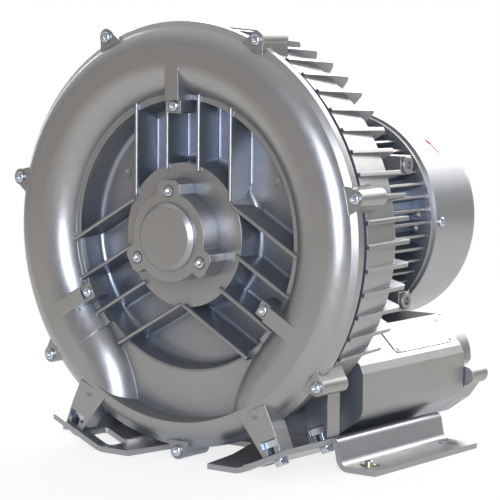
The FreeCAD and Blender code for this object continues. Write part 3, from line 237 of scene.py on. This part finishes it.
def turned_steel():
    """Ground and turned steel: fine rings round the rotor axis."""
    material = new_material("turned_steel", "#9a9a98", 1.0, 0.25)
    rings = add_node(material.node_tree, "ShaderNodeTexWave", {
        "wave_type": "BANDS", "bands_direction": "Y"},
        {"Vector": place(material), "Scale": 1 / (2.4 * MM), "Distortion": 0.6})
    relief(material, (rings.outputs["Fac"], 0.006 * MM))
    feed(material, "Roughness", spread(material, noise(material, 4 * MM), 0.3, 0.7, 0.2, 0.32))
    return material


def machined_aluminium():
    """Cast aluminium, machined bright, as on an impeller."""
    material = new_material("machined_aluminium", "#c6c8ca", 1.0, 0.34)
    feed(material, "Roughness", spread(material, noise(material, 3 * MM), 0.3, 0.7, 0.28, 0.42))
    relief(material, (noise(material, 0.9 * MM), 0.012 * MM), edge=0.3 * MM)
    return material


def stamped_laminations():
    """Electrical steel sheets, 0.5 mm thick in the real core, drawn 1 mm apart so they show."""
    material = new_material("stamped_laminations", "#6c6d70", 0.9, 0.45)
    sheets = add_node(material.node_tree, "ShaderNodeTexWave", {
        "wave_type": "BANDS", "bands_direction": "Y"},
        {"Vector": place(material), "Scale": 1 / (6.3 * MM)})
    relief(material, (sheets.outputs["Fac"], 0.15 * MM))
    feed(material, "Base Color", blend_colours(
        material, noise(material, 8 * MM), colour("#5d5f63"), colour("#7b7b7c")))
    return material


def enamelled_copper():
    """Lacquered copper wire, 1 mm thick, laid round the core and tied."""
    material = new_material("enamelled_copper", "#8a4a24", 0.8, 0.35, coat_weight=0.6,
                            coat_roughness=0.15)
    wires = add_node(material.node_tree, "ShaderNodeTexWave", {
        "wave_type": "RINGS", "rings_direction": "Y"},
        {"Vector": place(material), "Scale": 1 / (6.3 * MM), "Distortion": 1.5})
    relief(material, (wires.outputs["Fac"], 0.4 * MM))
    # The colour follows the relief's bands and is darker where it is low, between the wires:
    # painted shade in the grooves.
    feed(material, "Base Color", blend_colours(
        material, wires.outputs["Fac"], colour("#6e3517"), colour("#a05a2e")))
    return material


def moulded_black():
    """Glass-filled polyamide, moulded: near black with a fine matt grain."""
    material = new_material("moulded_polyamide", "#1d1e20", 0.0, 0.5)
    relief(material, (noise(material, 0.7 * MM), 0.03 * MM), edge=0.3 * MM)
    feed(material, "Roughness", spread(material, noise(material, 5 * MM), 0.3, 0.7, 0.44, 0.58))
    return material


def black_rubber():
    """Nitrile rubber: black, matt, slightly bloomed."""
    material = new_material("nitrile_rubber", "#191919", 0.0, 0.7)
    feed(material, "Base Color", blend_colours(
        material, noise(material, 3 * MM), colour("#141414"), colour("#242423")))
    relief(material, (noise(material, 0.6 * MM), 0.02 * MM))
    return material


def open_foam():
    """Open-cell polyurethane foam with cells of about 1.5 mm."""
    material = new_material("open_cell_foam", "#3c3d3f", 0.0, 0.95)
    cells = add_node(material.node_tree, "ShaderNodeTexVoronoi", {"feature": "F1"}, {
        "Vector": place(material), "Scale": 1 / (1.5 * MM)}).outputs["Distance"]
    relief(material, (cells, 0.8 * MM))
    # The colour follows the cell distance as the relief does and is darkest in each cell's hollow:
    # painted shade.
    feed(material, "Base Color", blend_colours(material, cells, colour("#232426"),
                                               colour("#56575a")))
    return material


def pressed_gasket():
    """Pressed fibre gasket sheet: grey-green, matt, with short fibres."""
    material = new_material("fibre_gasket", "#6d7268", 0.0, 0.8)
    fibres = noise(material, 2 * MM, stretch=(1, 3, 1))
    feed(material, "Base Color", blend_colours(material, fibres, colour("#5d6259"),
                                               colour("#7f8479")))
    relief(material, (fibres, 0.05 * MM))
    return material


def brass():
    """Turned brass."""
    material = new_material("turned_brass", "#b08d4e", 1.0, 0.3)
    relief(material, (noise(material, 1.2 * MM), 0.01 * MM), edge=0.2 * MM)
    feed(material, "Roughness", spread(material, noise(material, 2 * MM), 0.3, 0.7, 0.24, 0.36))
    return material


def anodised_plate():
    """Bare anodised aluminium sheet, brushed along its length, 0.3 mm between the strokes."""
    material = new_material("anodised_plate", "#c3c5c8", 0.9, 0.32)
    strokes = noise(material, 0.6 * MM, stretch=(1, 0.04, 1))
    relief(material, (strokes, 0.006 * MM), edge=0.2 * MM)
    feed(material, "Roughness", spread(material, strokes, 0.3, 0.7, 0.28, 0.38))
    return material


def red_film():
    """Printed vinyl film, red, smooth, slightly worn at its surface."""
    material = new_material("printed_red_film", "#c8241c", 0.0, 0.6, specular_ior_level=0.2)
    feed(material, "Base Color", blend_colours(
        material, noise(material, 2.5 * MM), colour("#bb2018"), colour("#d02c24")))
    feed(material, "Roughness", spread(material, noise(material, 4 * MM), 0.3, 0.7, 0.5, 0.65))
    return material


NODE_FINISHES = (
    (silver_casting, ("front_cover", "bearing_cap", "rear_housing", "motor_frame",
                      "rear_end_shield", "silencer_housing", "silencer_end_cover",
                      "terminal_box", "terminal_box_lid")),
    (silver_sheet, ("fan_cowl", "foot_bracket")),
    (zinc_steel, ("bearing_cap_screws", "pad_screws", "cover_screws", "motor_flange_screws",
                  "cowl_screws", "lid_screws", "silencer_cover_screws", "foot_screws",
                  "foot_nuts", "wave_spring", "fan_clip")),
    (turned_steel, ("shaft", "spacer_sleeve", "shaft_nut", "impeller_key",
                    "front_bearing_outer_ring", "front_bearing_inner_ring",
                    "front_bearing_balls", "rear_bearing_outer_ring",
                    "rear_bearing_inner_ring", "rear_bearing_balls")),
    (machined_aluminium, ("impeller",)),
    (stamped_laminations, ("stator_core", "rotor_core")),
    (enamelled_copper, ("stator_windings",)),
    (moulded_black, ("cooling_fan", "cable_entry_plugs", "terminal_block")),
    (black_rubber, ("shaft_seal",)),
    (open_foam, ("silencer_liners",)),
    (pressed_gasket, ("silencer_gasket", "terminal_box_gasket")),
    (brass, ("terminal_studs",)),
    (yellow_zinc, ()),
    (anodised_plate, ()),
    (red_film, ()),
)

finishes = {}
for make, labels in NODE_FINISHES:
    finish = make()
    finishes[make.__name__] = finish
    for label in labels:
        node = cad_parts[label]
        for slot in node.material_slots:
            slot.material = finish
        if not node.material_slots:
            node.data.materials.append(finish)


# Surfaces: every one is a grid of points, given in millimetres from the rotor axis at the joint
# plane (X right, depth back, Z up), and only its finished mesh is in metres from the origin

def grid_faces(rows, columns, around=False, along=False):
    """Quads over rows x columns points; around joins the last column to the first, along the
    last row to the first."""
    index = np.arange(rows * columns).reshape(rows, columns)
    if around:
        index = np.concatenate([index, index[:, :1]], axis=1)
    if along:
        index = np.concatenate([index, index[:1]], axis=0)
    return np.stack([index[:-1, :-1], index[:-1, 1:], index[1:, 1:], index[1:, :-1]],
                    axis=-1).reshape(-1, 4)


def stack_surfaces(points, around=False, along=False):
    """Points and quads of a set of equal grids, shaped (count, rows, columns, 3)."""
    count, rows, columns = points.shape[:3]
    faces = grid_faces(rows, columns, around, along)
    steps = np.arange(count)[:, None, None] * rows * columns
    return points.reshape(-1, 3), (faces[None] + steps).reshape(-1, 4)


def add_piece(name, surfaces, finish, replaced=None):
    """One piece from (points, quads) pairs: joined where points meet, faces turned outwards,
    shaded smooth but for edges over 35 degrees."""
    points, faces, used = [], [], 0
    for some_points, some_faces in surfaces:
        points.append(some_points)
        faces.append(some_faces + used)
        used += len(some_points)
    points = (np.concatenate(points) + (0, JOINT_PLANE, AXIS_HEIGHT)) * MM
    mesh = bpy.data.meshes.new(name)
    mesh.from_pydata(points.tolist(), [], np.concatenate(faces).tolist())
    work = bmesh.new()
    work.from_mesh(mesh)
    bmesh.ops.remove_doubles(work, verts=work.verts, dist=0.002 * MM)
    bmesh.ops.recalc_face_normals(work, faces=work.faces)
    work.to_mesh(mesh)
    work.free()
    mesh.polygons.foreach_set("use_smooth", np.ones(len(mesh.polygons), dtype=bool))
    mesh.set_sharp_from_angle(angle=math.radians(35))
    mesh.materials.append(finishes[finish])
    item = bpy.data.objects.new(name, mesh)
    bpy.context.scene.collection.objects.link(item)
    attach(item, "stator_assembly")
    if replaced:
        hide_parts(replaced)


def turned(rows, columns=48):
    """Profile rows (radius, height, wave, hex) turned about an upright axis. The radius grows by
    wave * cos(6 a), and by hex it goes over from a circle to the hexagon round that circle."""
    radius, height, wave, hexed = np.array(rows, dtype=float).T[:, :, None]
    angle = np.linspace(0, 2 * np.pi, columns, endpoint=False)[None]
    corner = 1 / np.cos((angle + np.pi / 6) % (np.pi / 3) - np.pi / 6) - 1
    reach = (radius + wave * np.cos(6 * angle)) * (1 + hexed * corner)
    return np.stack([reach * np.cos(angle), reach * np.sin(angle),
                     height + np.zeros_like(angle)], axis=-1)


def planted(shape, places, outward):
    """Copies of one upright surface, each at its place with its axis along its outward line."""
    outward = np.broadcast_to(np.array(outward, dtype=float), (len(places), 3))
    outward = outward / np.linalg.norm(outward, axis=1, keepdims=True)
    helper = np.where(np.abs(outward[:, 2:]) < 0.9, [[0.0, 0, 1]], [[1.0, 0, 0]])
    first = np.cross(helper, outward)
    first /= np.linalg.norm(first, axis=1, keepdims=True)
    second = np.cross(outward, first)
    basis = np.stack([first, second, outward], axis=1)
    return np.array(places)[:, None, None] + np.einsum("rcj,kji->krci", shape, basis)


def around_axis(radius, count, first_angle, depth):
    """Places on a circle about the rotor axis; angles from the top, clockwise from ahead."""
    angle = np.radians(first_angle + np.arange(count) * 360 / count)
    return np.stack([radius * np.sin(angle), np.full(count, float(depth)),
                     radius * np.cos(angle)], axis=-1)


# Screws

def pan_head(radius, height, shank, length):
    """Rounded head with a six-lobed recess: flat floor, waved wall, crowned top, straight rim,
    then the shank."""
    recess = radius * 0.42
    top = height * 0.92
    return turned([
        (0, height * 0.35, 0, 0), (recess * 0.96, height * 0.35, recess * 0.12, 0),
        (recess, top, recess * 0.12, 0), (recess * 1.16, height, 0, 0),
        (radius * 0.66, height * 0.97, 0, 0), (radius * 0.82, height * 0.84, 0, 0),
        (radius * 0.94, height * 0.62, 0, 0), (radius, height * 0.36, 0, 0),
        (radius, 0, 0, 0), (shank, 0, 0, 0), (shank, -length, 0, 0), (0, -length, 0, 0)])


def socket_head(radius, height, shank, length):
    """Cylinder head with a bevelled rim and a hexagonal recess two thirds deep."""
    recess = radius * 0.46
    return turned([
        (0, height * 0.35, 0, 0), (recess, height * 0.35, 0, 1), (recess, height * 0.94, 0, 1),
        (recess * 1.12, height, 0, 0.6), (radius * 0.88, height, 0, 0),
        (radius, height * 0.88, 0, 0), (radius, 0, 0, 0), (shank, 0, 0, 0),
        (shank, -length, 0, 0), (0, -length, 0, 0)])


def hexagon_head(radius, height, shank, length):
    """Hexagon head on a thin washer face, with its corners turned down."""
    return turned([
        (0, height, 0, 0), (radius * 0.8, height, 0, 0.2), (radius * 0.86, height * 0.86, 0, 1),
        (radius * 0.86, height * 0.12, 0, 1), (radius, height * 0.12, 0, 0), (radius, 0, 0, 0),
        (shank, 0, 0, 0), (shank, -length, 0, 0), (0, -length, 0, 0)])


def add_screws(name, head, places, outward, finish="zinc_steel", replaced=None):
    """One piece of equal heads, one at each place along its outward line."""
    surfaces = stack_surfaces(planted(head, places, outward), around=True)
    add_piece(name, [surfaces], finish, replaced)


def tilted_places(spots):
    """Seats of the foot screws under the slanted sheet, right then left, and the lines that
    point down out of the sheet. Past its bend the sheet rises by FOOT_SLOPE for each step out."""
    run = math.hypot(1, FOOT_SLOPE)
    places, lines = [], []
    for x, depth in spots:
        low = SHEET_THICKNESS + (x - FOOT_BEND) * FOOT_SLOPE + SHEET_GAP - AXIS_HEIGHT
        for side in (1, -1):
            down = np.array([side * FOOT_SLOPE / run, 0, -1 / run])
            reach = SHEET_THICKNESS + FOOT_SCREW_GAP
            places.append(np.array([side * x, depth, low]) + down * reach)
            lines.append(down)
    return np.array(places), np.array(lines)


def dress_screws():
    """Heads and shanks of every screw seen or reached, in place of the frame's plain ones, and
    the washer and screw that lie in a foot slot."""
    front, back = (0, -1, 0), (0, 1, 0)
    add_screws("flange_screw_heads", pan_head(4.2, 2.7, 3, 24),
               around_axis(LUG_CIRCLE, 7, 180, -10), front, replaced="cover_screws")
    add_screws("pad_screw_heads", pan_head(4, 2.4, 2.5, 11),
               around_axis(PAD_CIRCLE, 3, 0, -16), front, replaced="pad_screws")
    add_screws("cap_screw_heads", socket_head(3.9, 2.5, 2.5, 24),
               around_axis(CAP_CIRCLE, 3, 0, -20), front, replaced="bearing_cap_screws")
    add_screws("motor_screw_heads", socket_head(5, 5, 3, 19),
               around_axis(FLANGE_CIRCLE, 4, 45, 68), back, replaced="motor_flange_screws")
    seats = around_axis(COWL_RADIUS, 4, 0, 211)
    add_screws("cowl_screw_heads", pan_head(4, 2.6, 2, 7), seats,
               seats * (1, 0, 1), replaced="cowl_screws")
    corners = [(LID_FACE, depth, height) for depth in (98.0, 170.0) for height in (-34.0, 26.0)]
    add_screws("lid_screw_heads", pan_head(4, 2.5, 2, 18), np.array(corners), (-1, 0, 0),
               replaced="lid_screws")
    holes = [(side * x, SILENCER_BACK, z)
             for side in (-1, 1) for x, z in ((99, -131.5), (36, -104))]
    add_screws("silencer_screw_heads", socket_head(4.5, 4, 2.5, 22), np.array(holes), back,
               replaced="silencer_cover_screws")
    places, lines = tilted_places(((92, -11), (101, 32)))
    add_screws("foot_screw_heads", hexagon_head(5.5, 4.5, 3, 14.5), places, lines,
               replaced="foot_screws")
    seat = np.array([[FRONT_SLOT[0], FRONT_SLOT[1], SHEET_THICKNESS - AXIS_HEIGHT]])
    washer = turned([(1.7, 0, 0, 0), (1.7, 0.9, 0, 0), (4.9, 0.9, 0, 0), (5.2, 0.6, 0, 0),
                     (5.2, 0, 0, 0), (1.7, 0, 0, 0)])
    add_screws("slot_washer", washer, seat, (0, 0, 1), finish="yellow_zinc")
    add_screws("slot_screw", pan_head(2.9, 2.6, 1.6, 3.6), seat + (0, 0, 0.9), (0.16, -0.1, 1))


# Cast, pressed and printed details

def swept(section, start, end):
    """A closed section carried along a straight line from start to end, closed at both ends by
    a point at its middle; section is (columns, 2) across the line, as X and depth."""
    flat = np.concatenate([section, np.zeros((len(section), 1))], axis=1)
    middle = np.broadcast_to(flat.mean(axis=0), flat.shape)
    rows = np.stack([middle, flat, flat, middle])
    rows[:2, :, 2], rows[2:, :, 2] = start, end
    return rows


def turned_about_rotor(points, degrees):
    """Points turned about the rotor axis, from the top clockwise as seen from ahead."""
    angle = math.radians(degrees)
    x, depth, z = np.moveaxis(points, -1, 0)
    return np.stack([x * math.cos(angle) + z * math.sin(angle), depth,
                     z * math.cos(angle) - x * math.sin(angle)], axis=-1)


def add_motor_bosses():
    """Round collars with a blind hole on the two right pads of the motor, and two small
    cast points on its fins; all are turned about the line that points right."""
    collar = turned([(0, 0.5, 0, 0), (3.0, 0.5, 0, 0), (3.3, 2.6, 0, 0), (5.9, 2.6, 0, 0),
                     (6.5, 2.0, 0, 0), (6.7, -1, 0, 0), (0, -1, 0, 0)])
    point = turned([(0, 1.6, 0, 0), (1.5, 1.2, 0, 0), (2.2, 0, 0, 0), (2.2, -3, 0, 0),
                    (0, -3, 0, 0)], columns=24)
    pads = np.array([[PAD_REACH, 155.5, 47.0], [PAD_REACH, 155.5, -56.0]])
    points = np.array([[FIN_REACH, 188.0, 6.8], [FIN_REACH, 184.5, -3.2]])
    add_piece("motor_bosses", [stack_surfaces(planted(collar, pads, (1, 0, 0)), around=True),
                               stack_surfaces(planted(point, points, (1, 0, 0)), around=True)],
              "silver_casting")


def add_rib_fillets():
    """Cast fillets at both feet of each cooling rib: a quarter circle hollow of 2.2 mm between
    the rib's side and the web, from the hub to the ring, in three groups of four ribs."""
    hollow, half, sunk = 2.2, 1.5, 0.3
    hub, ring = 57.5, 93.0
    turn = np.linspace(0, np.pi / 2, 8)
    strips = []
    for x in (-43.05, -14.35, 14.35, 43.05):
        start = math.sqrt(hub ** 2 - x * x)
        end = math.sqrt(ring ** 2 - x * x)
        for side in (-1, 1):
            edge = x + side * half
            across = edge + side * hollow * (1 - np.cos(turn))
            depth = WEB_DEPTH - hollow + hollow * np.sin(turn)
            arc = np.stack([across, depth], axis=-1)
            inside = np.array([[edge + side * hollow, WEB_DEPTH + sunk],
                               [edge - side * sunk, WEB_DEPTH + sunk],
                               [edge - side * sunk, WEB_DEPTH - hollow]])
            strips.append(swept(np.concatenate([arc, inside]), start, end))
    strips = np.stack(strips)
    groups = [turned_about_rotor(strips, angle) for angle in (0, 120, 240)]
    add_piece("rib_fillets", [stack_surfaces(np.concatenate(groups), around=True)],
              "silver_casting")


def add_ejector_marks():
    """Round marks of the die's ejector pins on the web and the legs: a rim of 3.9 mm radius
    that stands 0.2 mm proud round a shallow floor."""
    disc = turned([(0, 0.05, 0, 0), (3.4, 0.05, 0, 0), (3.7, 0.2, 0, 0), (4.0, 0.2, 0, 0),
                   (4.3, 0, 0, 0), (4.3, -0.4, 0, 0), (0, -0.4, 0, 0)])
    circle = 80
    places = np.concatenate([around_axis(circle, 1, -60, WEB_DEPTH),
                             around_axis(circle, 1, 60, WEB_DEPTH), LEG_MARKS])
    add_piece("ejector_marks", [stack_surfaces(planted(disc, places, (0, -1, 0)), around=True)],
              "silver_casting")


def add_port_threads():
    """Pipe thread in both ports: the wall's radius is 23.9 mm less a sawtooth of 1.1 mm that
    advances one pitch of 2.31 mm with each turn, closed behind by a plain wall."""
    pitch, tooth, bore, first, length = 2.31, 1.1, 23.9, 200.0, 24.0
    columns = 60
    along = np.linspace(0, length, 84)[:, None]
    angle = np.linspace(0, 2 * np.pi, columns, endpoint=False)[None]
    phase = (along / pitch + angle / (2 * np.pi)) % 1
    fade = np.clip(np.minimum(along, length - along) / pitch, 0, 1)
    radius = bore - tooth * (1 - np.abs(2 * phase - 1)) * fade
    behind = np.full((2, columns), bore + 0.5)
    radius = np.concatenate([radius, behind])
    depth = np.concatenate([first + along + 0 * angle, first + np.array([[length], [0]]) +
                            0 * angle])
    ring = np.stack([radius * np.cos(angle), depth, radius * np.sin(angle)], axis=-1)
    ports = np.stack([ring + (side * PORT_SIDE, 0, PORT_HEIGHT) for side in (-1, 1)])
    add_piece("port_threads", [stack_surfaces(ports, around=True, along=True)],
              "machined_aluminium")


def add_bevel_plate():
    """Bare plate on the slanted shoulder of the silencer: a rectangle with rounded corners
    (superellipse of power 12), 0.8 mm thick, held by four domed rivets."""
    count = 96
    angle = np.linspace(0, 2 * np.pi, count, endpoint=False)
    cosine, sine = np.cos(angle), np.sin(angle)
    along = 40 * np.sign(sine) * np.abs(sine) ** (1 / 6)
    across = 11.5 * np.sign(cosine) * np.abs(cosine) ** (1 / 6)
    slant = np.array([math.sqrt(0.5), 0, -math.sqrt(0.5)])
    outward = np.array([math.sqrt(0.5), 0, math.sqrt(0.5)])
    centre = np.array([101.0, 152.0, -81.0])
    rim = across[:, None] * slant + along[:, None] * np.array([0, 1.0, 0])
    rows = [(0, -0.4), (1, -0.4), (1, 0.65), (0.985, 0.8), (0, 0.8)]
    plate = np.stack([centre + rim * share + outward * height for share, height in rows])
    rivet = turned([(0, 1.0, 0, 0), (0.9, 0.85, 0, 0), (1.5, 0.3, 0, 0), (1.6, -0.2, 0, 0),
                    (0, -0.2, 0, 0)], columns=20)
    spots = [centre + slant * a + np.array([0, b, 0]) + outward * 0.8
             for a in (-9, 9) for b in (-36.5, 36.5)]
    add_piece("bare_plate", [stack_surfaces(plate[None], around=True),
                             stack_surfaces(planted(rivet, spots, outward), around=True)],
              "anodised_plate")


def add_rotation_arrow():
    """Turning arrow on the cowl: a band 1.8 mm wide that widens to a head of 6 mm and narrows
    to its tip, laid on the cylinder of 84 mm radius; the depth is half the width either way."""
    count = 60
    share = np.linspace(0, 1, count)
    angle = np.radians(52 - 11 * share)
    depth = 235 - 6 * share
    width = np.where(share < 0.6, 0.9, 3.0 * (1 - share) / 0.4)
    top = np.stack([COWL_RADIUS * np.sin(angle), depth, COWL_RADIUS * np.cos(angle)], axis=-1)
    lift = np.stack([np.sin(angle), 0 * angle, np.cos(angle)], axis=-1)
    side = np.array([0, 1.0, 0])
    corners = [(-1, 0.12), (1, 0.12), (1, -0.1), (-1, -0.1)]
    band = np.stack([top + side * (width * sign)[:, None] + lift * height
                     for sign, height in corners], axis=1)
    ends = np.stack([np.broadcast_to(band[row].mean(axis=0), (4, 3)) for row in (0, -1)])
    band = np.concatenate([ends[:1], band, ends[1:]])
    add_piece("rotation_arrow", [stack_surfaces(band[None], around=True)], "red_film")


# Stage: floor, world and lamps

def make_floor():
    """A flat square grid 8 m wide, a little under the feet. Seen or mirrored it is white in
    a band below and behind the object and fades to the room's shade ahead and aside."""
    side = np.linspace(-4, 4, 9)
    x, y = np.meshgrid(side, side)
    points = np.stack([x, y, np.full_like(x, -0.0003)], axis=-1)
    mesh = bpy.data.meshes.new("floor")
    mesh.from_pydata(points.reshape(-1, 3).tolist(), [], grid_faces(9, 9).tolist())
    floor = bpy.data.objects.new("floor", mesh)
    bpy.context.scene.collection.objects.link(floor)
    material = bpy.data.materials.new("pale_floor")
    material.use_nodes = True
    tree = material.node_tree
    tree.nodes.remove(tree.nodes["Principled BSDF"])
    path = add_node(tree, "ShaderNodeLightPath").outputs
    seen = combine(material, "MAXIMUM", path["Is Camera Ray"], path["Is Glossy Ray"])
    seen = combine(material, "MAXIMUM", seen, path["Is Transmission Ray"])
    spot = add_node(tree, "ShaderNodeTexCoord").outputs["Object"]
    away = add_node(tree, "ShaderNodeVectorMath", {"operation": "LENGTH"}, {0: spot})
    clear = spread(material, away.outputs["Value"], 0.35, 1.2, 0.8, 1.0)
    share = combine(material, "MULTIPLY", seen, clear)
    near = spread(material, along_line(material, spot, VIEW_LINE), -1.2, -0.3)
    across_line = (VIEW_LINE[1], -VIEW_LINE[0], 0)
    aside = combine(material, "ABSOLUTE", along_line(material, spot, across_line))
    band = spread(material, aside, 1.0, 1.6, 1.0, 0.0)
    fade = combine(material, "MULTIPLY", near, band)
    shade = blend_colours(material, fade, colour(ROOM_SHADE_CODE), WHITE)
    paint = add_node(tree, "ShaderNodeBsdfDiffuse", None, {"Color": (0.86, 0.86, 0.86, 1)})
    glow = add_node(tree, "ShaderNodeEmission", None, {"Color": shade, "Strength": 1.0})
    mix = add_node(tree, "ShaderNodeMixShader", None, {
        0: share, 1: paint.outputs[0], 2: glow.outputs[0]})
    tree.links.new(mix.outputs[0], tree.nodes["Material Output"].inputs["Surface"])
    mesh.materials.append(material)


def set_world():
    """A pale studio: the shade grows with the cosine between the ray and a line up and back,
    from a warm grey room over cool grey walls to white; round the camera's line it is white."""
    world = bpy.data.worlds.new("studio")
    bpy.context.scene.world = world
    world.use_nodes = True
    tree = world.node_tree
    ray = add_node(tree, "ShaderNodeTexCoord").outputs["Generated"]
    up_and_back = Vector((-0.35, 0.5, 0.8)).normalized()
    share = spread(world, along_line(world, ray, up_and_back), -1.0, 1.0)
    ramp = add_node(tree, "ShaderNodeValToRGB", None, {"Fac": share})
    stops = ramp.color_ramp.elements
    stops[0].position, stops[0].color = 0.38, colour(ROOM_SHADE_CODE)
    stops[1].position, stops[1].color = 0.9, (0.94, 0.97, 1, 1)
    for position, shade in ((0.52, "#a5a4a2"), (0.75, "#c3c8ce")):
        stops.new(position).color = colour(shade)
    window = spread(world, along_line(world, ray, VIEW_LINE), 0.93, 0.97)
    result = blend_colours(world, window, ramp.outputs["Color"], WHITE)
    tree.links.new(result, tree.nodes["Background"].inputs["Color"])


def add_flag(name, turn, distance, width, height):
    """A dark cool panel that stands on the floor beside the camera, facing the object, for the
    metal to mirror as it does a studio's flags; turn is in degrees from straight ahead."""
    angle = math.radians(turn)
    middle = np.array([math.sin(angle), -math.cos(angle), 0]) * distance
    side = np.array([math.cos(angle), math.sin(angle), 0]) * width / 2
    up = np.array([0, 0, height])
    corners = np.stack([middle - side, middle + side, middle + side + up, middle - side + up])
    mesh = bpy.data.meshes.new(name)
    mesh.from_pydata(corners.tolist(), [], [(0, 1, 2, 3)])
    item = bpy.data.objects.new(name, mesh)
    bpy.context.scene.collection.objects.link(item)
    item.visible_camera = False
    mesh.materials.append(new_material(name, "#5f6873", 0.0, 0.9))


def add_lamp(name, place_at, size, power, shade):
    """A rectangular lamp in watts, aimed at the middle of the object."""
    lamp = bpy.data.lights.new(name, "AREA")
    lamp.shape = "RECTANGLE"
    lamp.size, lamp.size_y = size
    lamp.energy = power
    lamp.color = colour(shade)[:3]
    item = bpy.data.objects.new(name, lamp)
    bpy.context.scene.collection.objects.link(item)
    item.location = place_at
    item.visible_camera = False
    aim = Vector(LAMP_AIM) - Vector(place_at)
    item.rotation_euler = aim.to_track_quat("-Z", "Y").to_euler()


def set_camera():
    """The photograph's view: place and direction fitted to the lugs, ribs and foot slots."""
    azimuth, roll = math.radians(36.71), math.radians(0.479)
    forward = Vector((-0.59454, 0.79727, -0.10434)).normalized()
    across = Vector((math.cos(azimuth), math.sin(azimuth), 0))
    upward = across.cross(forward)
    right = across * math.cos(roll) + upward * math.sin(roll)
    top = upward * math.cos(roll) - across * math.sin(roll)
    camera = bpy.data.cameras.new("camera")
    camera.sensor_width = SENSOR_WIDTH
    camera.lens = SENSOR_WIDTH * FOCAL_PIXELS / PHOTO_WIDTH
    camera.clip_end = 50
    item = bpy.data.objects.new("camera", camera)
    bpy.context.scene.collection.objects.link(item)
    turn = Matrix((right, top, -forward)).transposed().to_4x4()
    item.matrix_world = Matrix.Translation(Vector(CAMERA_PLACE) * MM) @ turn
    bpy.context.scene.camera = item


dress_screws()
add_rib_fillets()
add_ejector_marks()
add_motor_bosses()
add_port_threads()
add_bevel_plate()
add_rotation_arrow()
make_floor()
set_world()
add_flag("flag_ahead", 6, 1.9, 1.1, 1.1)
add_flag("flag_right", 78, 1.9, 1.5, 1.1)
add_lamp("window_ahead", (1.35, -1.75, 0.62), (0.75, 1.2), 68, "#d9e6ff")
add_lamp("sky_behind", (-0.6, 2.4, 1.5), (3.0, 1.8), 105, "#f8faff")
add_lamp("sky_right", (1.0, 2.1, 1.4), (1.4, 1.2), 7, "#f8faff")
add_lamp("strip_left", (-2.2, 1.5, 0.9), (0.8, 1.6), 14, "#e6eeff")
set_camera()

bpy.context.scene.view_settings.view_transform = "Standard"
